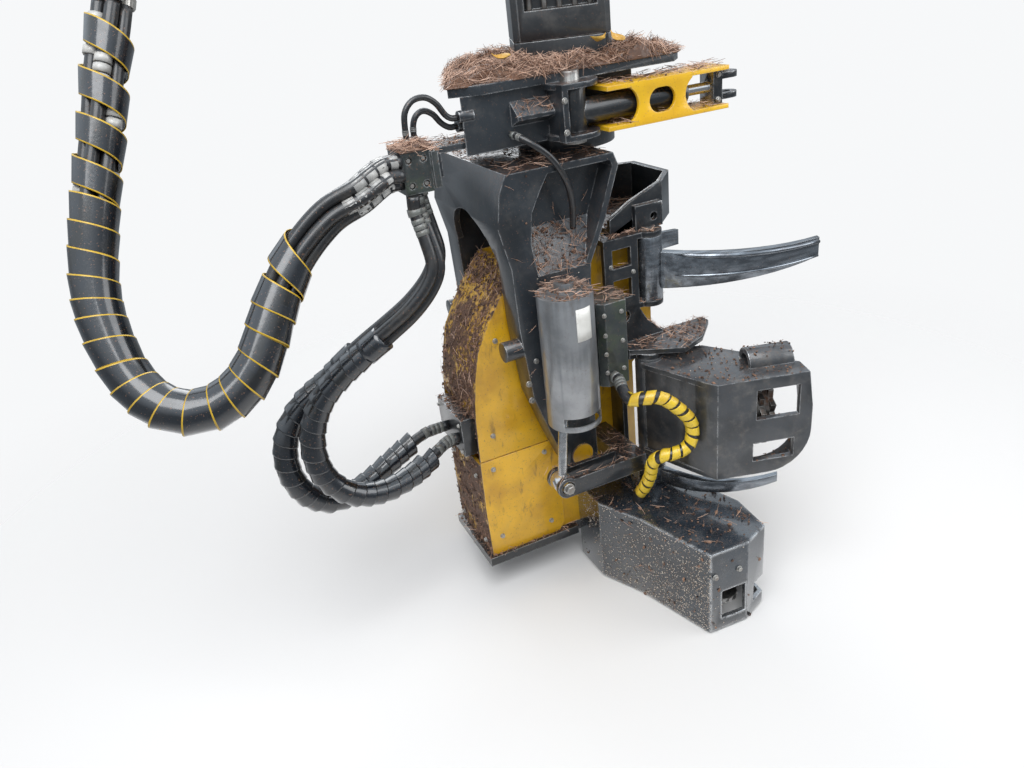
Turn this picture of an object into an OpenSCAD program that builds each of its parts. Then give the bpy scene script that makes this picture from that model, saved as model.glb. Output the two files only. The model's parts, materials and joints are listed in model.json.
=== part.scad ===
// Harvester head: a felling and delimbing head that hangs from a crane on its rotator.
// It stands upright here, with its opening towards +X, its near side towards -Y and +Z up.
// The origin is the centre of the hanger pin's bore. Heights inside the modules are taken
// from the upper face of the bracket's top plate, and at_plate() puts them in place.

/* [Hanger and rotator] */
// Diameter of the bore for the hanger pin
pin_bore = 56; // [40:1:70]
// Height of the hanger pin above the bracket's top plate
pin_to_plate = 360; // [350:5:420]
// Width of the hanger lug along its bore
lug_w = 90; // [60:2:120]
// Side of the square rotator housing and of the flange under it
housing_w = 220; // [200:2:230]
// Height of the rotator housing
housing_h = 190; // [170:2:200]
// Height of the flange that is bolted to the top plate
flange_h = 60; // [50:1:70]
// Diameter of the hub that the housing turns on
hub_d = 112; // [90:1:130]
// Diameter of the bright studs in the housing's windows
stud_d = 12; // [8:1:16]

/* [Bracket] */
// Thickness of the top plate
top_t = 20; // [14:1:22]
// Half the width of the top plate
top_half = 170; // [160:1:180]
// Depth of the bracket box under the top plate
box_h = 120; // [115:1:130]
// Wall of the bracket box
box_t = 14; // [8:1:16]
// Diameter of the round neck between box and yoke
neck_d = 240; // [220:2:240]
// Height of the round neck
neck_h = 45; // [35:1:60]

/* [Tilt yoke] */
// Distance between the yoke's two arms
yoke_gap = 260; // [256:1:266]
// Depth of each arm
arm_t = 75; // [65:1:75]
// Thickness of the yoke's plates
yoke_plate = 16; // [10:1:20]
// Diameter of the trunnions that the head tilts on
trunnion_d = 60; // [40:1:66]
// Outer diameter of the round guard over the tilt cylinder
guard_d = 132; // [126:1:140]
// Wall of the round guard
guard_wall = 5; // [3:0.5:6]

/* [Cylinders] */
// Outer diameter of the level cylinder's barrel
push_d = 57; // [50:1:62]
// Diameter of the level cylinder's rod
push_rod_d = 25; // [18:1:30]
// Diameter of the level cylinder's upright pin
ear_pin_d = 44; // [30:1:48]
// Outer diameter of the tilt cylinder's barrel
tilt_d = 50; // [44:1:52]
// Diameter of the tilt cylinder's rod
tilt_rod_d = 24; // [18:1:30]
// Diameter of the pin at the tilt cylinder's upper eye
anchor_d = 36; // [25:1:40]

/* [Head] */
// Half the width of the yellow rear covers
cover_half = 115; // [113:1:118]
// Thickness of the yellow cover plates
cover_t = 6; // [4:1:7]
// Thickness of the frame's side plates
frame_t = 22; // [18:1:26]
// Thickness of the cheek plates beside the frame
cheek_t = 15; // [10:1:20]
// Diameter of the upright hinge pins of knives and roller arms
hinge_pin_d = 40; // [30:1:44]
// Wall round each hinge bore
hinge_wall = 16; // [12:1:18]

/* [Knives] */
// Height of an upper knife at its hinge
knife_h = 100; // [80:2:104]
// Thickness of a knife's blade
knife_t = 16; // [10:1:22]
// Height of a lower knife at its hinge
low_knife_h = 44; // [30:1:46]

/* [Feed rollers] */
// Radius of the roller drum without its teeth
drum_r = 98; // [85:1:100]
// Height of the teeth on the drum
tooth_h = 15; // [8:1:16]
// Length of the roller drum
drum_l = 144; // [120:2:146]
// Number of toothed rings on a drum
rings = 6; // [4:1:7]
// Number of teeth on a ring
teeth = 18; // [12:1:24]
// Height of a roller arm
roller_arm_h = 270; // [262:1:274]

/* [Saw] */
// Length of the guide bar from its swing pin to the tip of the chain
bar_l = 500; // [440:5:505]
// Width of the guide bar
bar_w = 74; // [60:1:80]
// Thickness of the guide bar
bar_t = 7; // [5:1:9]
// Height of the saw box
saw_box_h = 250; // [240:2:260]
// Wall of the saw box
saw_wall = 10; // [6:1:14]

/* [Fits] */
// Radial clearance of pins and shafts that turn
fit = 0.3; // [0.2:0.05:0.6]
// Gap between faces that turn past each other
face_gap = 0.6; // [0.4:0.1:1]
// Gap between parts that pass each other while moving
run_gap = 6; // [5:0.5:8]

/* [Hidden] */

$fn = 48;
eps = 0.01;

// Side view points are [x, z], plan points are [x, y].
lug_r = 66;
housing_z = flange_h + face_gap;
housing_top = housing_z + housing_h;
window_z = [122, 200];
window_w = 160;
window_deep = 45;
stud_pitch = 34;
rotator_turn = -22;
stud_count = 5;

// The bracket under the rotator
top_plate = [
    [-342, -top_half + 35], [-281, -top_half], [205, -top_half], [240, -top_half + 35],
    [240, top_half - 35], [205, top_half], [-190, top_half], [-235, top_half - 35]
];
box_x = [-325, -108];
box_far_x = -200;
box_half = 158;
box_bottom = -top_t - box_h;
box_plan = [[box_x[0], -box_half], [box_x[1], -box_half], [box_x[1], box_half],
    [box_far_x, box_half]];
ear_x = -70;
ear_y = -170;
ear_r = 61;
ear_t = 12;
ear_low = [-top_t - box_h, -top_t - box_h + ear_t];
neck_bottom = box_bottom - neck_h;

// The level cylinder on the bracket's near side lies along X at this height.
push_z = -90;
push_gland_x = 225;
push_head_x = [296, 322];
push_head_h = 76;
fork_x = 350;
fork_r = 27;
fork_t = 14;
fork_gap = 32;
fork_bore = 26;
push_guard_x = [-3, 326];
push_guard_half = 45;
push_guard_t = 10;

// The yoke's arms reach from the neck down to the trunnions.
arm_in = yoke_gap / 2;
arm_out = arm_in + arm_t;
pivot = [-130, -945];
pivot_r = 48;
arm_back = [[-262, neck_bottom], [-282, -225], [-294, -301], [-272, -400], [-268, -560],
    [-250, -742], [-205, -880], [-172, -968]];
arm_front = [[10, neck_bottom], [22, -215], [-24, -341], [-66, -431], [-78, -600],
    [-84, -820], [-84, -960]];
shelf_z = -431;
// inner edge of the broad band that closes the arm's rear half, and the pocket before it
band_in = [[-150, neck_bottom], [-183, -236], [-208, -282], [-216, -352], [-206, shelf_z]];
pocket_deep = 58;
litter_z = -330;
arch_r = 128;
arch_z = -420;
stop_x = [-308, -262];
stop_y = -180;
stop_z = -606;
stop_d = 50;

// The tilt cylinder hangs in its guard outside the near arm.
anchor = [-183, -492];
lug_pin = [-230, -956];
cyl_y = -arm_out - run_gap - guard_d / 2;
guard_x = -180;
guard_z = [-789, -452];
slot_z = [-776, -752];
tilt_lean = atan((anchor[0] - lug_pin[0]) / (anchor[1] - lug_pin[1]));
tilt_len = norm(anchor - lug_pin);
barrel_l = 280;
eye_r = 27;
eye_w = 36;
cheek_gap = 3;
lug_t = 12;

// The head's frame and covers
frame_out = cover_half - cover_t;
frame_in = frame_out - frame_t;
cover_back = [[-225, -437], [-275, -497], [-316, -558], [-350, -621], [-367, -691],
    [-377, -762], [-381, -800]];
cover_split = -930;
cover_front = -158;
cover_low = -1236;
cheek_y = [155, 155 + cheek_t];
cheek_top = -402;
shelf_low = -698;
saw_top = -1100;
hinge_low_z = [saw_top + 70, -712];
low_blade_z = [saw_top + 6, saw_top - 44];
low_far_plate = saw_top - 66;
hinge_up = [130, 150];
hinge_up_top = cheek_top - 14;
near_plate_z = -599;
far_plate_z = -693;
hinge_low = [80, 215];
hinge_plate = 14;
blade_near_z = -560;
blade_far_z = -675;
roller_z = -855;
wheel_at = [150, -615];
wheel_axle = 20;
arm_turn = 18;

// The saw box hangs on the near side below the roller arm.
saw_low = saw_top - saw_box_h;
bar_z = saw_top - 185;
bar_pivot = [-20, -60];
bar_turn = 13;
saw_slot = [saw_top - 212, saw_top - 158];
saw_window = [saw_top - 216, saw_top - 128];
saw_plan = [[-107, -229], [-52, -350], [9, -566], [118, -573], [194, -543], [207, -423],
    [181, -339], [142, -302]];

// Routes of the hoses, as points chosen along the real ones, [x, y, z] from the top plate
crane_route = [[-489, -196, -134], [-520, -196, -134], [-553, -206, -145],
    [-590, -214, -162], [-647, -204, -186], [-702, -204, -226], [-750, -210, -273],
    [-791, -222, -325], [-826, -238, -380], [-858, -252, -430], [-902, -258, -474],
    [-958, -252, -502], [-1016, -232, -508], [-1065, -202, -488], [-1099, -162, -442],
    [-1115, -124, -382], [-1120, -88, -320], [-1114, -60, -266], [-1100, -36, -214],
    [-1074, -6, -138], [-1044, 26, -62], [-1008, 58, 24], [-975, 92, 112],
    [-942, 118, 186], [-924, 136, 229]];
crane_hose_d = 92;
loop_routes = [
    [[-470, -206, -183], [-470, -206, -220], [-462, -224, -278], [-460, -240, -334],
        [-484, -242, -378], [-528, -234, -422], [-580, -216, -462], [-628, -200, -496],
        [-692, -178, -544], [-746, -162, -598], [-780, -156, -664], [-792, -156, -738],
        [-774, -156, -812], [-720, -152, -872], [-644, -134, -900], [-560, -102, -902],
        [-490, -66, -888], [-446, -48, -876], [-414, -48, -876]],
    [[-440, -140, -183], [-440, -140, -220], [-430, -144, -280], [-426, -154, -334],
        [-450, -158, -382], [-498, -152, -430], [-556, -138, -472], [-614, -120, -512],
        [-664, -104, -550], [-718, -90, -592], [-774, -78, -630], [-822, -74, -682],
        [-848, -76, -746], [-848, -80, -816], [-820, -78, -882], [-760, -62, -928],
        [-676, -30, -930], [-594, 2, -910], [-530, 22, -890], [-480, 34, -878],
        [-446, 36, -876], [-414, 36, -876]]
];
loop_hose_d = 60;
saw_route = [[-54, -262, -716], [-54, -284, -716], [-62, -318, -732],
    [-62, -347, -742], [-38, -372, -734], [-2, -388, -738], [36, -398, -772],
    [70, -402, -816], [78, -402, -858], [66, -398, -894], [34, -388, -908],
    [4, -372, -914], [-8, -352, -940], [-4, -332, -990], [-6, -306, -1042],
    [-10, -282, -1078], [-10, -282, -1100]];
saw_hose_d = 36;
pocket_route = [[-214, -158, -114], [-214, -176, -114], [-206, -196, -120],
    [-184, -212, -138], [-156, -217, -164], [-132, -217, -200], [-112, -208, -240],
    [-100, -196, -280], [-94, -184, -316], [-92, -176, -346]];
jumper_routes = [
    [[-455, -165, -96], [-455, -165, -60], [-450, -165, -28], [-430, -163, -8],
        [-402, -160, -6], [-378, -156, -22], [-360, -152, -48], [-345, -150, -58],
        [-332, -150, -58]],
    [[-430, -140, -96], [-430, -140, -66], [-422, -140, -44], [-404, -138, -34],
        [-382, -135, -44], [-364, -132, -66], [-346, -130, -78], [-330, -130, -78]]
];

function reversed(p) = [for (i = [len(p) - 1 : -1 : 0]) p[i]];
function shifted(p, by) = [for (q = p) q + by];
function band(p, dx) = concat(p, shifted(reversed(p), [dx, 0]));
function arc(c, r, a0, a1, n) = [for (i = [0 : n]) let (a = a0 + (a1 - a0) * i / n)
    c + r * [cos(a), sin(a)]];
function unit(v) = v / norm(v);

// A tube's rings: each ring is turned on from the one before it, so that it never twists.
function along(p, i) = unit(p[min(i + 1, len(p) - 1)] - p[max(i - 1, 0)]);
function square_to(v, d) = unit(v - (v * d) * d);
function frames(p, i = 0, v = [0, 1, 0.1]) = i >= len(p) ? [] :
    let (s = square_to(v, along(p, i))) concat([s], frames(p, i + 1, s));
function ring(c, d, s, r, n) = [for (k = [0 : n - 1]) let (a = 360 * k / n)
    c + r * (cos(a) * s + sin(a) * cross(d, s))];
function tube_points(p, r, n) = let (f = frames(p))
    [for (i = [0 : len(p) - 1]) each ring(p[i], along(p, i), f[i], r, n)];
function tube_faces(m, n) = concat(
    [[for (k = [0 : n - 1]) k]],
    [for (i = [0 : m - 2], k = [0 : n - 1])
        [i * n + k, (i + 1) * n + k, (i + 1) * n + (k + 1) % n, i * n + (k + 1) % n]],
    [[for (k = [n - 1 : -1 : 0]) (m - 1) * n + k]]);

module at_plate() translate([0, 0, -pin_to_plate]) children();
module side_plate(p, y0, y1) translate([0, y1, 0]) rotate([90, 0, 0])
    linear_extrude(y1 - y0) polygon(p);
module plan_plate(p, z0, z1) translate([0, 0, z0]) linear_extrude(z1 - z0) polygon(p);
module box(lo, hi) translate(lo) cube(hi - lo);
module both_sides() {
    children();
    mirror([0, 1, 0]) children();
}
module tube(p, d, n) polyhedron(tube_points(p, d / 2, n), tube_faces(len(p), n));
module y_rod(x, z, d, y0, y1) translate([x, y1, z]) rotate([90, 0, 0])
    cylinder(d = d, h = y1 - y0);
module x_rod(y, z, d, x0, x1) translate([x0, y, z]) rotate([0, 90, 0])
    cylinder(d = d, h = x1 - x0);
module z_rod(x, y, d, z0, z1) translate([x, y, z0]) cylinder(d = d, h = z1 - z0);

// Hanger and rotator

module hanger_lug() color("dimgray") {
    base_t = 20;
    drop = pin_to_plate - housing_top;
    difference() {
        union() {
            y_rod(0, 0, 2 * lug_r, -lug_w / 2, lug_w / 2);
            box([-lug_r, -lug_w / 2, -drop + base_t / 2], [lug_r, lug_w / 2, 0]);
            rotate(rotator_turn) box([-housing_w / 2, -housing_w / 2, -drop],
                [housing_w / 2, housing_w / 2, -drop + base_t]);
        }
        y_rod(0, 0, pin_bore, -lug_w, lug_w);
    }
}

module housing_plan(w) {
    c = 14;
    polygon([[-w + c, -w], [w - c, -w], [w, -w + c], [w, w - c], [w - c, w],
        [-w + c, w], [-w, w - c], [-w, -w + c]]);
}

module rotator_housing() color("dimgray") at_plate() rotate(rotator_turn) difference() {
    translate([0, 0, housing_z]) linear_extrude(housing_h) housing_plan(housing_w / 2);
    z_rod(0, 0, hub_d + 2 * fit, 0, hub_top + face_gap);
    both_sides() box([-window_w / 2, -housing_w / 2 - eps, window_z[0]],
        [window_w / 2, -housing_w / 2 + window_deep, window_z[1]]);
}
hub_top = 118;

module housing_studs() color("silver") at_plate() rotate(rotator_turn) both_sides()
    for (i = [0 : stud_count - 1])
        z_rod((i - (stud_count - 1) / 2) * stud_pitch, -housing_w / 2 + window_deep / 2,
            stud_d, window_z[0], window_z[1]);

module rotator_flange() color("dimgray") at_plate() {
    rotate(rotator_turn) linear_extrude(flange_h) housing_plan(housing_w / 2);
    z_rod(0, 0, hub_d, flange_h - eps, hub_top);
}

// Bracket and yoke

module ear(z0, z1) difference() {
    union() {
        z_rod(ear_x, ear_y, 2 * ear_r, z0, z1);
        box([box_x[1], ear_y - ear_r, z0], [ear_x, ear_y + ear_r, z1]);
    }
    z_rod(ear_x, ear_y, ear_pin_d, z0 - 1, z1 + 1);
}

module top_bracket() color("dimgray") at_plate() {
    difference() {
        plan_plate(top_plate, -top_t, 0);
        z_rod(ear_x, ear_y, ear_pin_d, -top_t - 1, 1);
    }
    difference() {
        plan_plate(box_plan, box_bottom, -top_t);
        translate([0, 0, box_bottom + box_t]) linear_extrude(box_h) offset(delta = -box_t)
            polygon(box_plan);
    }
    // bosses that the short hoses screw into
    for (r = jumper_routes) {
        e = r[len(r) - 1];
        x_rod(e[1], e[2], 26, e[0], e[0] + 34);
    }
    // small sloped shelf on the near face
    translate([box_x[1] - box_t, 0, 0]) rotate([0, -90, 0]) linear_extrude(90) polygon([
        [-46, -box_half], [-74, -box_half - 34], [-82, -box_half - 34], [-96, -box_half]]);
    box([box_x[1] - box_t, ear_y - ear_r, ear_low[0]], [box_x[1], -box_half, -top_t]);
    ear(ear_low[0], ear_low[1]);
    ear(-top_t - ear_t, -top_t);
    // the floor runs forward over the neck
    box([box_x[1], -95, box_bottom], [neck_d / 2, 95, box_bottom + box_t]);
    // two ribs carry the top plate in front of the box
    both_sides() box([box_x[1], 60, box_bottom + box_t], [150, 60 + box_t, -top_t]);
}

module ear_pin() color("gray") at_plate() {
    z_rod(ear_x, ear_y, ear_pin_d - 2 * fit, ear_low[0] - 6, 0);
    z_rod(ear_x, ear_y, ear_pin_d + 16, ear_low[0] - 14, ear_low[0]);
}

module neck_ring() color("dimgray") at_plate() z_rod(0, 0, neck_d, neck_bottom, box_bottom);

module yoke_arm() {
    foot = [for (p = arc(pivot, pivot_r, 210, 340, 10)) p];
    // web at the inside, with the pocket in front of it
    side_plate(concat(arm_back, foot, reversed(arm_front)), -arm_out + pocket_deep, -arm_in);
    side_plate(band(arm_front, -yoke_plate), -arm_out, -arm_in);
    // the broad band and the closed lower arm
    side_plate(concat([for (p = arm_back) if (p[1] > shelf_z) p], [[-271, shelf_z]],
        reversed(band_in)), -arm_out, -arm_in);
    side_plate(concat([[-271, shelf_z]], [for (p = arm_back) if (p[1] < shelf_z) p], foot,
        [for (p = reversed(arm_front)) if (p[1] <= shelf_z) p]), -arm_out, -arm_in);
    // the pocket's floor slopes out to the lower arm's face
    intersection() {
        side_plate(concat(band_in, reversed([for (p = arm_front) if (p[1] >= shelf_z) p])),
            -arm_out, -arm_in);
        translate([-300, 0, 0]) rotate([90, 0, 90]) linear_extrude(400) polygon([
            [-arm_out, shelf_z - 1], [-arm_out + pocket_deep, litter_z],
            [-arm_in, litter_z], [-arm_in, shelf_z - 1]]);
    }
    // stop on the arm's back
    x_rod(stop_y, stop_z, stop_d, stop_x[0], stop_x[1]);
}

module tilt_yoke() color("dimgray") at_plate() difference() {
    union() {
        both_sides() yoke_arm();
        // crown plate and the arched back and front of the crown
        box([arm_back[0][0], -arm_out, neck_bottom - yoke_plate],
            [arm_front[0][0], arm_out, neck_bottom]);
        difference() {
            union() {
                side_plate(band([for (i = [0 : 3]) arm_back[i]], yoke_plate),
                    -arm_in, arm_in);
                side_plate(band([for (i = [0 : 2]) arm_front[i]], -yoke_plate),
                    -arm_in, arm_in);
            }
            x_rod(0, arch_z, 2 * arch_r, -400, 100);
        }
    }
    both_sides() y_rod(pivot[0], pivot[1], trunnion_d + 2 * fit, -arm_out - 1, -arm_in + 1);
    y_rod(anchor[0], anchor[1], anchor_d, -arm_out - 1, -arm_out + 2 * yoke_plate);
}

module tilt_guard() color("silver") at_plate() {
    c = [guard_x, cyl_y];
    difference() {
        z_rod(c[0], c[1], guard_d, guard_z[0], guard_z[1]);
        z_rod(c[0], c[1], guard_d - 2 * guard_wall, guard_z[0] - 1, guard_z[1] - guard_wall);
        box([c[0] - 50, c[1] - guard_d, slot_z[0]], [c[0] + 50, c[1], slot_z[1]]);
        y_rod(anchor[0], anchor[1], anchor_d, c[1], 0);
    }
    z_rod(c[0], c[1], 84, guard_z[1] - eps, guard_z[1] + 8);
    z_rod(c[0], c[1], 46, guard_z[1] + 8 - eps, guard_z[1] + 24);
    // pads against the arm
    for (z = [-620, -710]) difference() {
        box([c[0] - 30, c[1] + guard_d / 2 - 12, z], [c[0] + 30, -arm_out, z + 50]);
        z_rod(c[0], c[1], guard_d - guard_wall, z - 1, z + 51);
    }
}

module tilt_anchor() color("gray") at_plate() {
    y_rod(anchor[0], anchor[1], anchor_d - 2 * fit, cyl_y - 34, -arm_out + 2 * yoke_plate);
}

// Hose manifold and hoses on the bracket

block_x = [-489, -415];
block_z = [-183, -96];
block_y = [-215, -125];

module manifold_arm() color("dimgray") at_plate() {
    plan_plate([[-412, -150], [-322.4, -150], [-286.8, -60], [-412, -60]], -125, -110);
    box([-412, -215, -160], [-402, -125, -110]);
}

module hose_manifold() color("dimgray") at_plate() {
    difference() {
        box([block_x[0], block_y[0], block_z[0]], [block_x[1] - 12, block_y[1], block_z[1]]);
        for (x = [-474, -442], z = [-165, -114])
            y_rod(x, z, 14, block_y[0] - 1, block_y[0] + 8);
    }
    // flange against the carrying plate
    box([block_x[1] - 12, block_y[0] - 8, block_z[0] + 6],
        [block_x[1] + 3, block_y[1], block_z[1] - 6]);
}

module crane_hose() color([0.1, 0.1, 0.1]) at_plate() tube(crane_route, crane_hose_d, 10);

module crane_couplings() color("silver") at_plate() {
    e = crane_route[len(crane_route) - 1];
    d = along(crane_route, len(crane_route) - 1);
    translate(e) rotate([0, acos(d[2]), atan2(d[1], d[0])]) for (i = [0 : 4]) {
        a = 72 * i + 20;
        translate([28 * cos(a), 28 * sin(a), 0]) {
            cylinder(d = 28, h = 46);
            cylinder(d = 32, h = 18, $fn = 6);
        }
    }
}

module jumper_hoses() color([0.1, 0.1, 0.1]) at_plate()
    for (r = jumper_routes) tube(r, 17, 8);

module pocket_hose() color([0.1, 0.1, 0.1]) at_plate() tube(pocket_route, 18, 8);

// Level cylinder with its yellow guard

module push_barrel() color([0.15, 0.15, 0.16]) at_plate() difference() {
    union() {
        z_rod(ear_x, ear_y, ear_pin_d + 22, ear_low[1] + face_gap, -top_t - ear_t - face_gap);
        x_rod(ear_y, push_z, push_d, ear_x, push_gland_x);
        x_rod(ear_y, push_z, push_d + 2, push_gland_x - 26, push_gland_x - 4);
    }
    z_rod(ear_x, ear_y, ear_pin_d, -200, 0);
    x_rod(ear_y, push_z, push_rod_d + 2 * fit, 20, push_gland_x + 1);
}

module push_rod() color("silver") at_plate() difference() {
    union() {
        x_rod(ear_y, push_z, push_rod_d, 60, push_head_x[0] + 4);
        box([push_head_x[0], ear_y - 26, push_z - push_head_h / 2],
            [push_head_x[1], ear_y + 26, push_z + push_head_h / 2]);
        for (z = [push_z - fork_gap / 2 - fork_t, push_z + fork_gap / 2]) {
            z_rod(fork_x, ear_y, 2 * fork_r, z, z + fork_t);
            box([push_head_x[1] - eps, ear_y - fork_r, z], [fork_x, ear_y + fork_r, z + fork_t]);
        }
    }
    z_rod(fork_x, ear_y, fork_bore, -200, 0);
}

module guard_web(y0) {
    xm = 141;
    difference() {
        side_plate([[59, push_z - 38], [223, push_z - 38], [223, push_z + 38],
            [59, push_z + 38]], y0, y0 + push_guard_t);
        for (x = [36, 246]) y_rod(x, push_z, 84, y0 - 1, y0 + push_guard_t + 1);
        hull() for (x = [xm - 8, xm + 8])
            y_rod(x, push_z, 54, y0 - 1, y0 + push_guard_t + 1);
    }
}

module push_guard() color("gold") at_plate() {
    for (z = [push_z - push_head_h / 2 - push_guard_t, push_z + push_head_h / 2])
        difference() {
            box([push_guard_x[0], ear_y - push_guard_half, z],
                [push_guard_x[1], ear_y + push_guard_half, z + push_guard_t]);
            z_rod(ear_x, ear_y, 2 * (ear_r + run_gap), z - 1, z + push_guard_t + 1);
        }
    guard_web(ear_y - push_guard_half);
    guard_web(ear_y + push_guard_half - push_guard_t);
}

// Tilt cylinder

module on_tilt_line() translate([anchor[0], cyl_y, anchor[1]]) rotate([0, tilt_lean, 0])
    children();

module tilt_barrel() color([0.15, 0.15, 0.16]) at_plate() on_tilt_line() difference() {
    union() {
        y_rod(0, 0, 2 * eye_r, -eye_w / 2, eye_w / 2);
        translate([0, 0, -barrel_l]) cylinder(d = tilt_d, h = barrel_l - 12);
    }
    y_rod(0, 0, anchor_d, -eye_w, eye_w);
    translate([0, 0, -barrel_l - 1]) cylinder(d = tilt_rod_d + 2 * fit, h = barrel_l - 50);
}

module tilt_rod() color("silver") at_plate() on_tilt_line() difference() {
    union() {
        translate([0, 0, -tilt_len]) cylinder(d = tilt_rod_d, h = tilt_len - 190);
        y_rod(0, -tilt_len, 2 * eye_r, -eye_w / 2, eye_w / 2);
    }
    y_rod(0, -tilt_len, anchor_d, -eye_w, eye_w);
}

// The head's frame and covers

module main_frame() color("gold") at_plate() {
    outline = [[-205, -470], [-60, cheek_top], [160, cheek_top], [160, -720], [95, -780], [95, -1090],
        [60, -1100], [60, cover_low + 6], [-330, cover_low + 6], [-352, -1090], [-360, -940],
        [-360, -800], [-345, -700], [-300, -585]];
    both_sides() side_plate(outline, -frame_out, -frame_in);
    // the front that the stem runs on, open in the middle for the measuring wheel
    difference() {
        box([148, -frame_in, -720], [160, frame_in, cheek_top]);
        box([140, -26, -690], [170, 26, -540]);
    }
    box([83, -frame_in, -1090], [95, frame_in, -780]);
    box([-60, -frame_in, cheek_top - 12], [160, frame_in, cheek_top]);
    // axle of the measuring wheel
    y_rod(wheel_at[0], wheel_at[1], wheel_axle, -frame_in, frame_in);
    box([-300, -frame_in, cover_low + 6], [60, frame_in, cover_low + 20]);
    box([-140, -frame_in, -900], [-124, frame_in, -480]);
    // trunnions
    both_sides() {
        y_rod(pivot[0], pivot[1], trunnion_d, -arm_out - 4, -frame_out);
        y_rod(pivot[0], pivot[1], trunnion_d + 24, -arm_in + face_gap, -frame_out);
    }
}

module rear_cover_upper() color("gold") at_plate() {
    side = concat(cover_back, [[-385, cover_split + 1], [cover_front, cover_split + 1],
        [cover_front, -520], [-190, -437]]);
    both_sides() difference() {
        side_plate(side, -cover_half, -frame_out);
        y_rod(pivot[0], pivot[1], trunnion_d + 30, -cover_half - 1, 0);
    }
    side_plate(band(cover_back, cover_t + 4), -frame_out, frame_out);
}

module rear_cover_lower() color("gold") at_plate() {
    side = [[-385, cover_split - 1], [-388, -1095], [-386, cover_low], [-176, cover_low],
        [cover_front, -1210], [cover_front, cover_split - 1]];
    both_sides() difference() {
        side_plate(side, -cover_half, -frame_out);
        y_rod(pivot[0], pivot[1], trunnion_d + 30, -cover_half - 1, 0);
    }
    side_plate([[-385, -940], [-388, -1095], [-386, cover_low], [-376, cover_low],
        [-378, -1095], [-375, -940]], -frame_out, frame_out);
}

module rear_foot() color([0.15, 0.15, 0.16]) at_plate() {
    difference() {
        box([-400, -cover_half - 10, cover_low - 26], [-120, cover_half + 10, cover_low]);
        for (x = [-360, -300, -240, -180]) z_rod(x, -cover_half + 8, 18, cover_low - 40, -1248);
    }
}

module hood_wall() polygon([[30, -138], [185, -138], [246, -80], [246, 80], [185, 138],
    [30, 138], [30, 124], [178, 124], [232, 74], [232, -74], [178, -124], [30, -124]]);

module top_hood() color([0.15, 0.15, 0.16]) at_plate() {
    plan_plate([[30, -138], [185, -138], [246, -80], [246, 80], [185, 138], [30, 138]],
        cheek_top, cheek_top + 14);
    difference() {
        translate([0, 0, cheek_top + 14 - eps]) linear_extrude(100) hood_wall();
        side_plate([[20, -370], [90, -330], [180, -296], [250, -288], [250, -200], [20, -200]],
            -200, 200);
    }
    difference() {
        box([96, -152, cheek_top + 0.5], [176, -137.5, -340]);
        y_rod(150, -374, 20, -160, -130);
    }
}

// Each cheek's gusset starts under its own upper knife.
near_gusset = [[88, near_plate_z], [112, near_plate_z - 41], [180, shelf_low - 2]];
far_gusset = [[88, far_plate_z]];
module cheek_near() color([0.15, 0.15, 0.16]) at_plate()
    cheek(near_gusset, near_plate_z, saw_top);
module cheek_far() color([0.15, 0.15, 0.16]) at_plate() mirror([0, 1, 0]) {
    cheek(far_gusset, far_plate_z, low_far_plate);
    hinge_lug(hinge_low, low_far_plate);
}

module hinge_lug(at, z) difference() {
    union() {
        box([22, -max(at[1], cheek_y[1]), z], [at[0], -frame_out, z + hinge_plate]);
        z_rod(at[0], -at[1], hinge_pin_d + 2 * hinge_wall, z, z + hinge_plate);
    }
    z_rod(at[0], -at[1], hinge_pin_d, z - 1, z + hinge_plate + 1);
    box([-200, -frame_out, z - 1], [300, 0, z + hinge_plate + 1]);
}

module cheek(gusset, plate_z, low) {
    // side plate with its windows
    difference() {
        side_plate(concat([[-10, cheek_top], [88, cheek_top]], gusset,
            [[275, shelf_low], [275, hinge_low_z[1]], [22, hinge_low_z[1]], [-10, -600]]),
            -cheek_y[1], -cheek_y[0]);
        for (w = [[-478, -430], [-560, -510]])
            box([14, -cheek_y[1] - 1, w[0]], [66, -cheek_y[0] + 1, w[1]]);
        y_rod(40, -610, 34, -cheek_y[1] - 1, -cheek_y[0] + 1);
    }
    box([-10, -cheek_y[0], cheek_top - hinge_plate], [22, -frame_out, cheek_top]);
    hinge_lug(hinge_up, cheek_top - hinge_plate);
    hinge_lug(hinge_up, plate_z);
    hinge_lug(hinge_low, hinge_low_z[1]);
    hinge_lug(hinge_low, hinge_low_z[0] - hinge_plate);
    // shelf over the roller arm, and the upright plate behind the lower hinge
    plan_plate([[22, -hinge_low[1]], [142, -288], [218, -258], [292, -185],
        [292, -cheek_y[0]], [22, -cheek_y[0]]], shelf_low, shelf_low + 14);
    box([22, -cheek_y[1], low], [36, -frame_out, shelf_low]);
}

module hinge_pins() color("gray") at_plate() {
    d = hinge_pin_d - 2 * fit;
    z_rod(hinge_up[0], -hinge_up[1], d, near_plate_z, cheek_top);
    z_rod(hinge_up[0], hinge_up[1], d, shelf_low + hinge_plate, cheek_top);
    z_rod(hinge_low[0], -hinge_low[1], d, saw_top, shelf_low);
    z_rod(hinge_low[0], hinge_low[1], d, low_far_plate - 6, shelf_low);
}

module valve_block() color([0.2, 0.23, 0.22]) at_plate() {
    plan_plate([[-84, -212], [-84, -246], [-68, -262], [-10, -262], [10, -220],
        [10, -cheek_y[1]], [-64, -cheek_y[1]], [-64, -212]], -742, -520);
}

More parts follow.
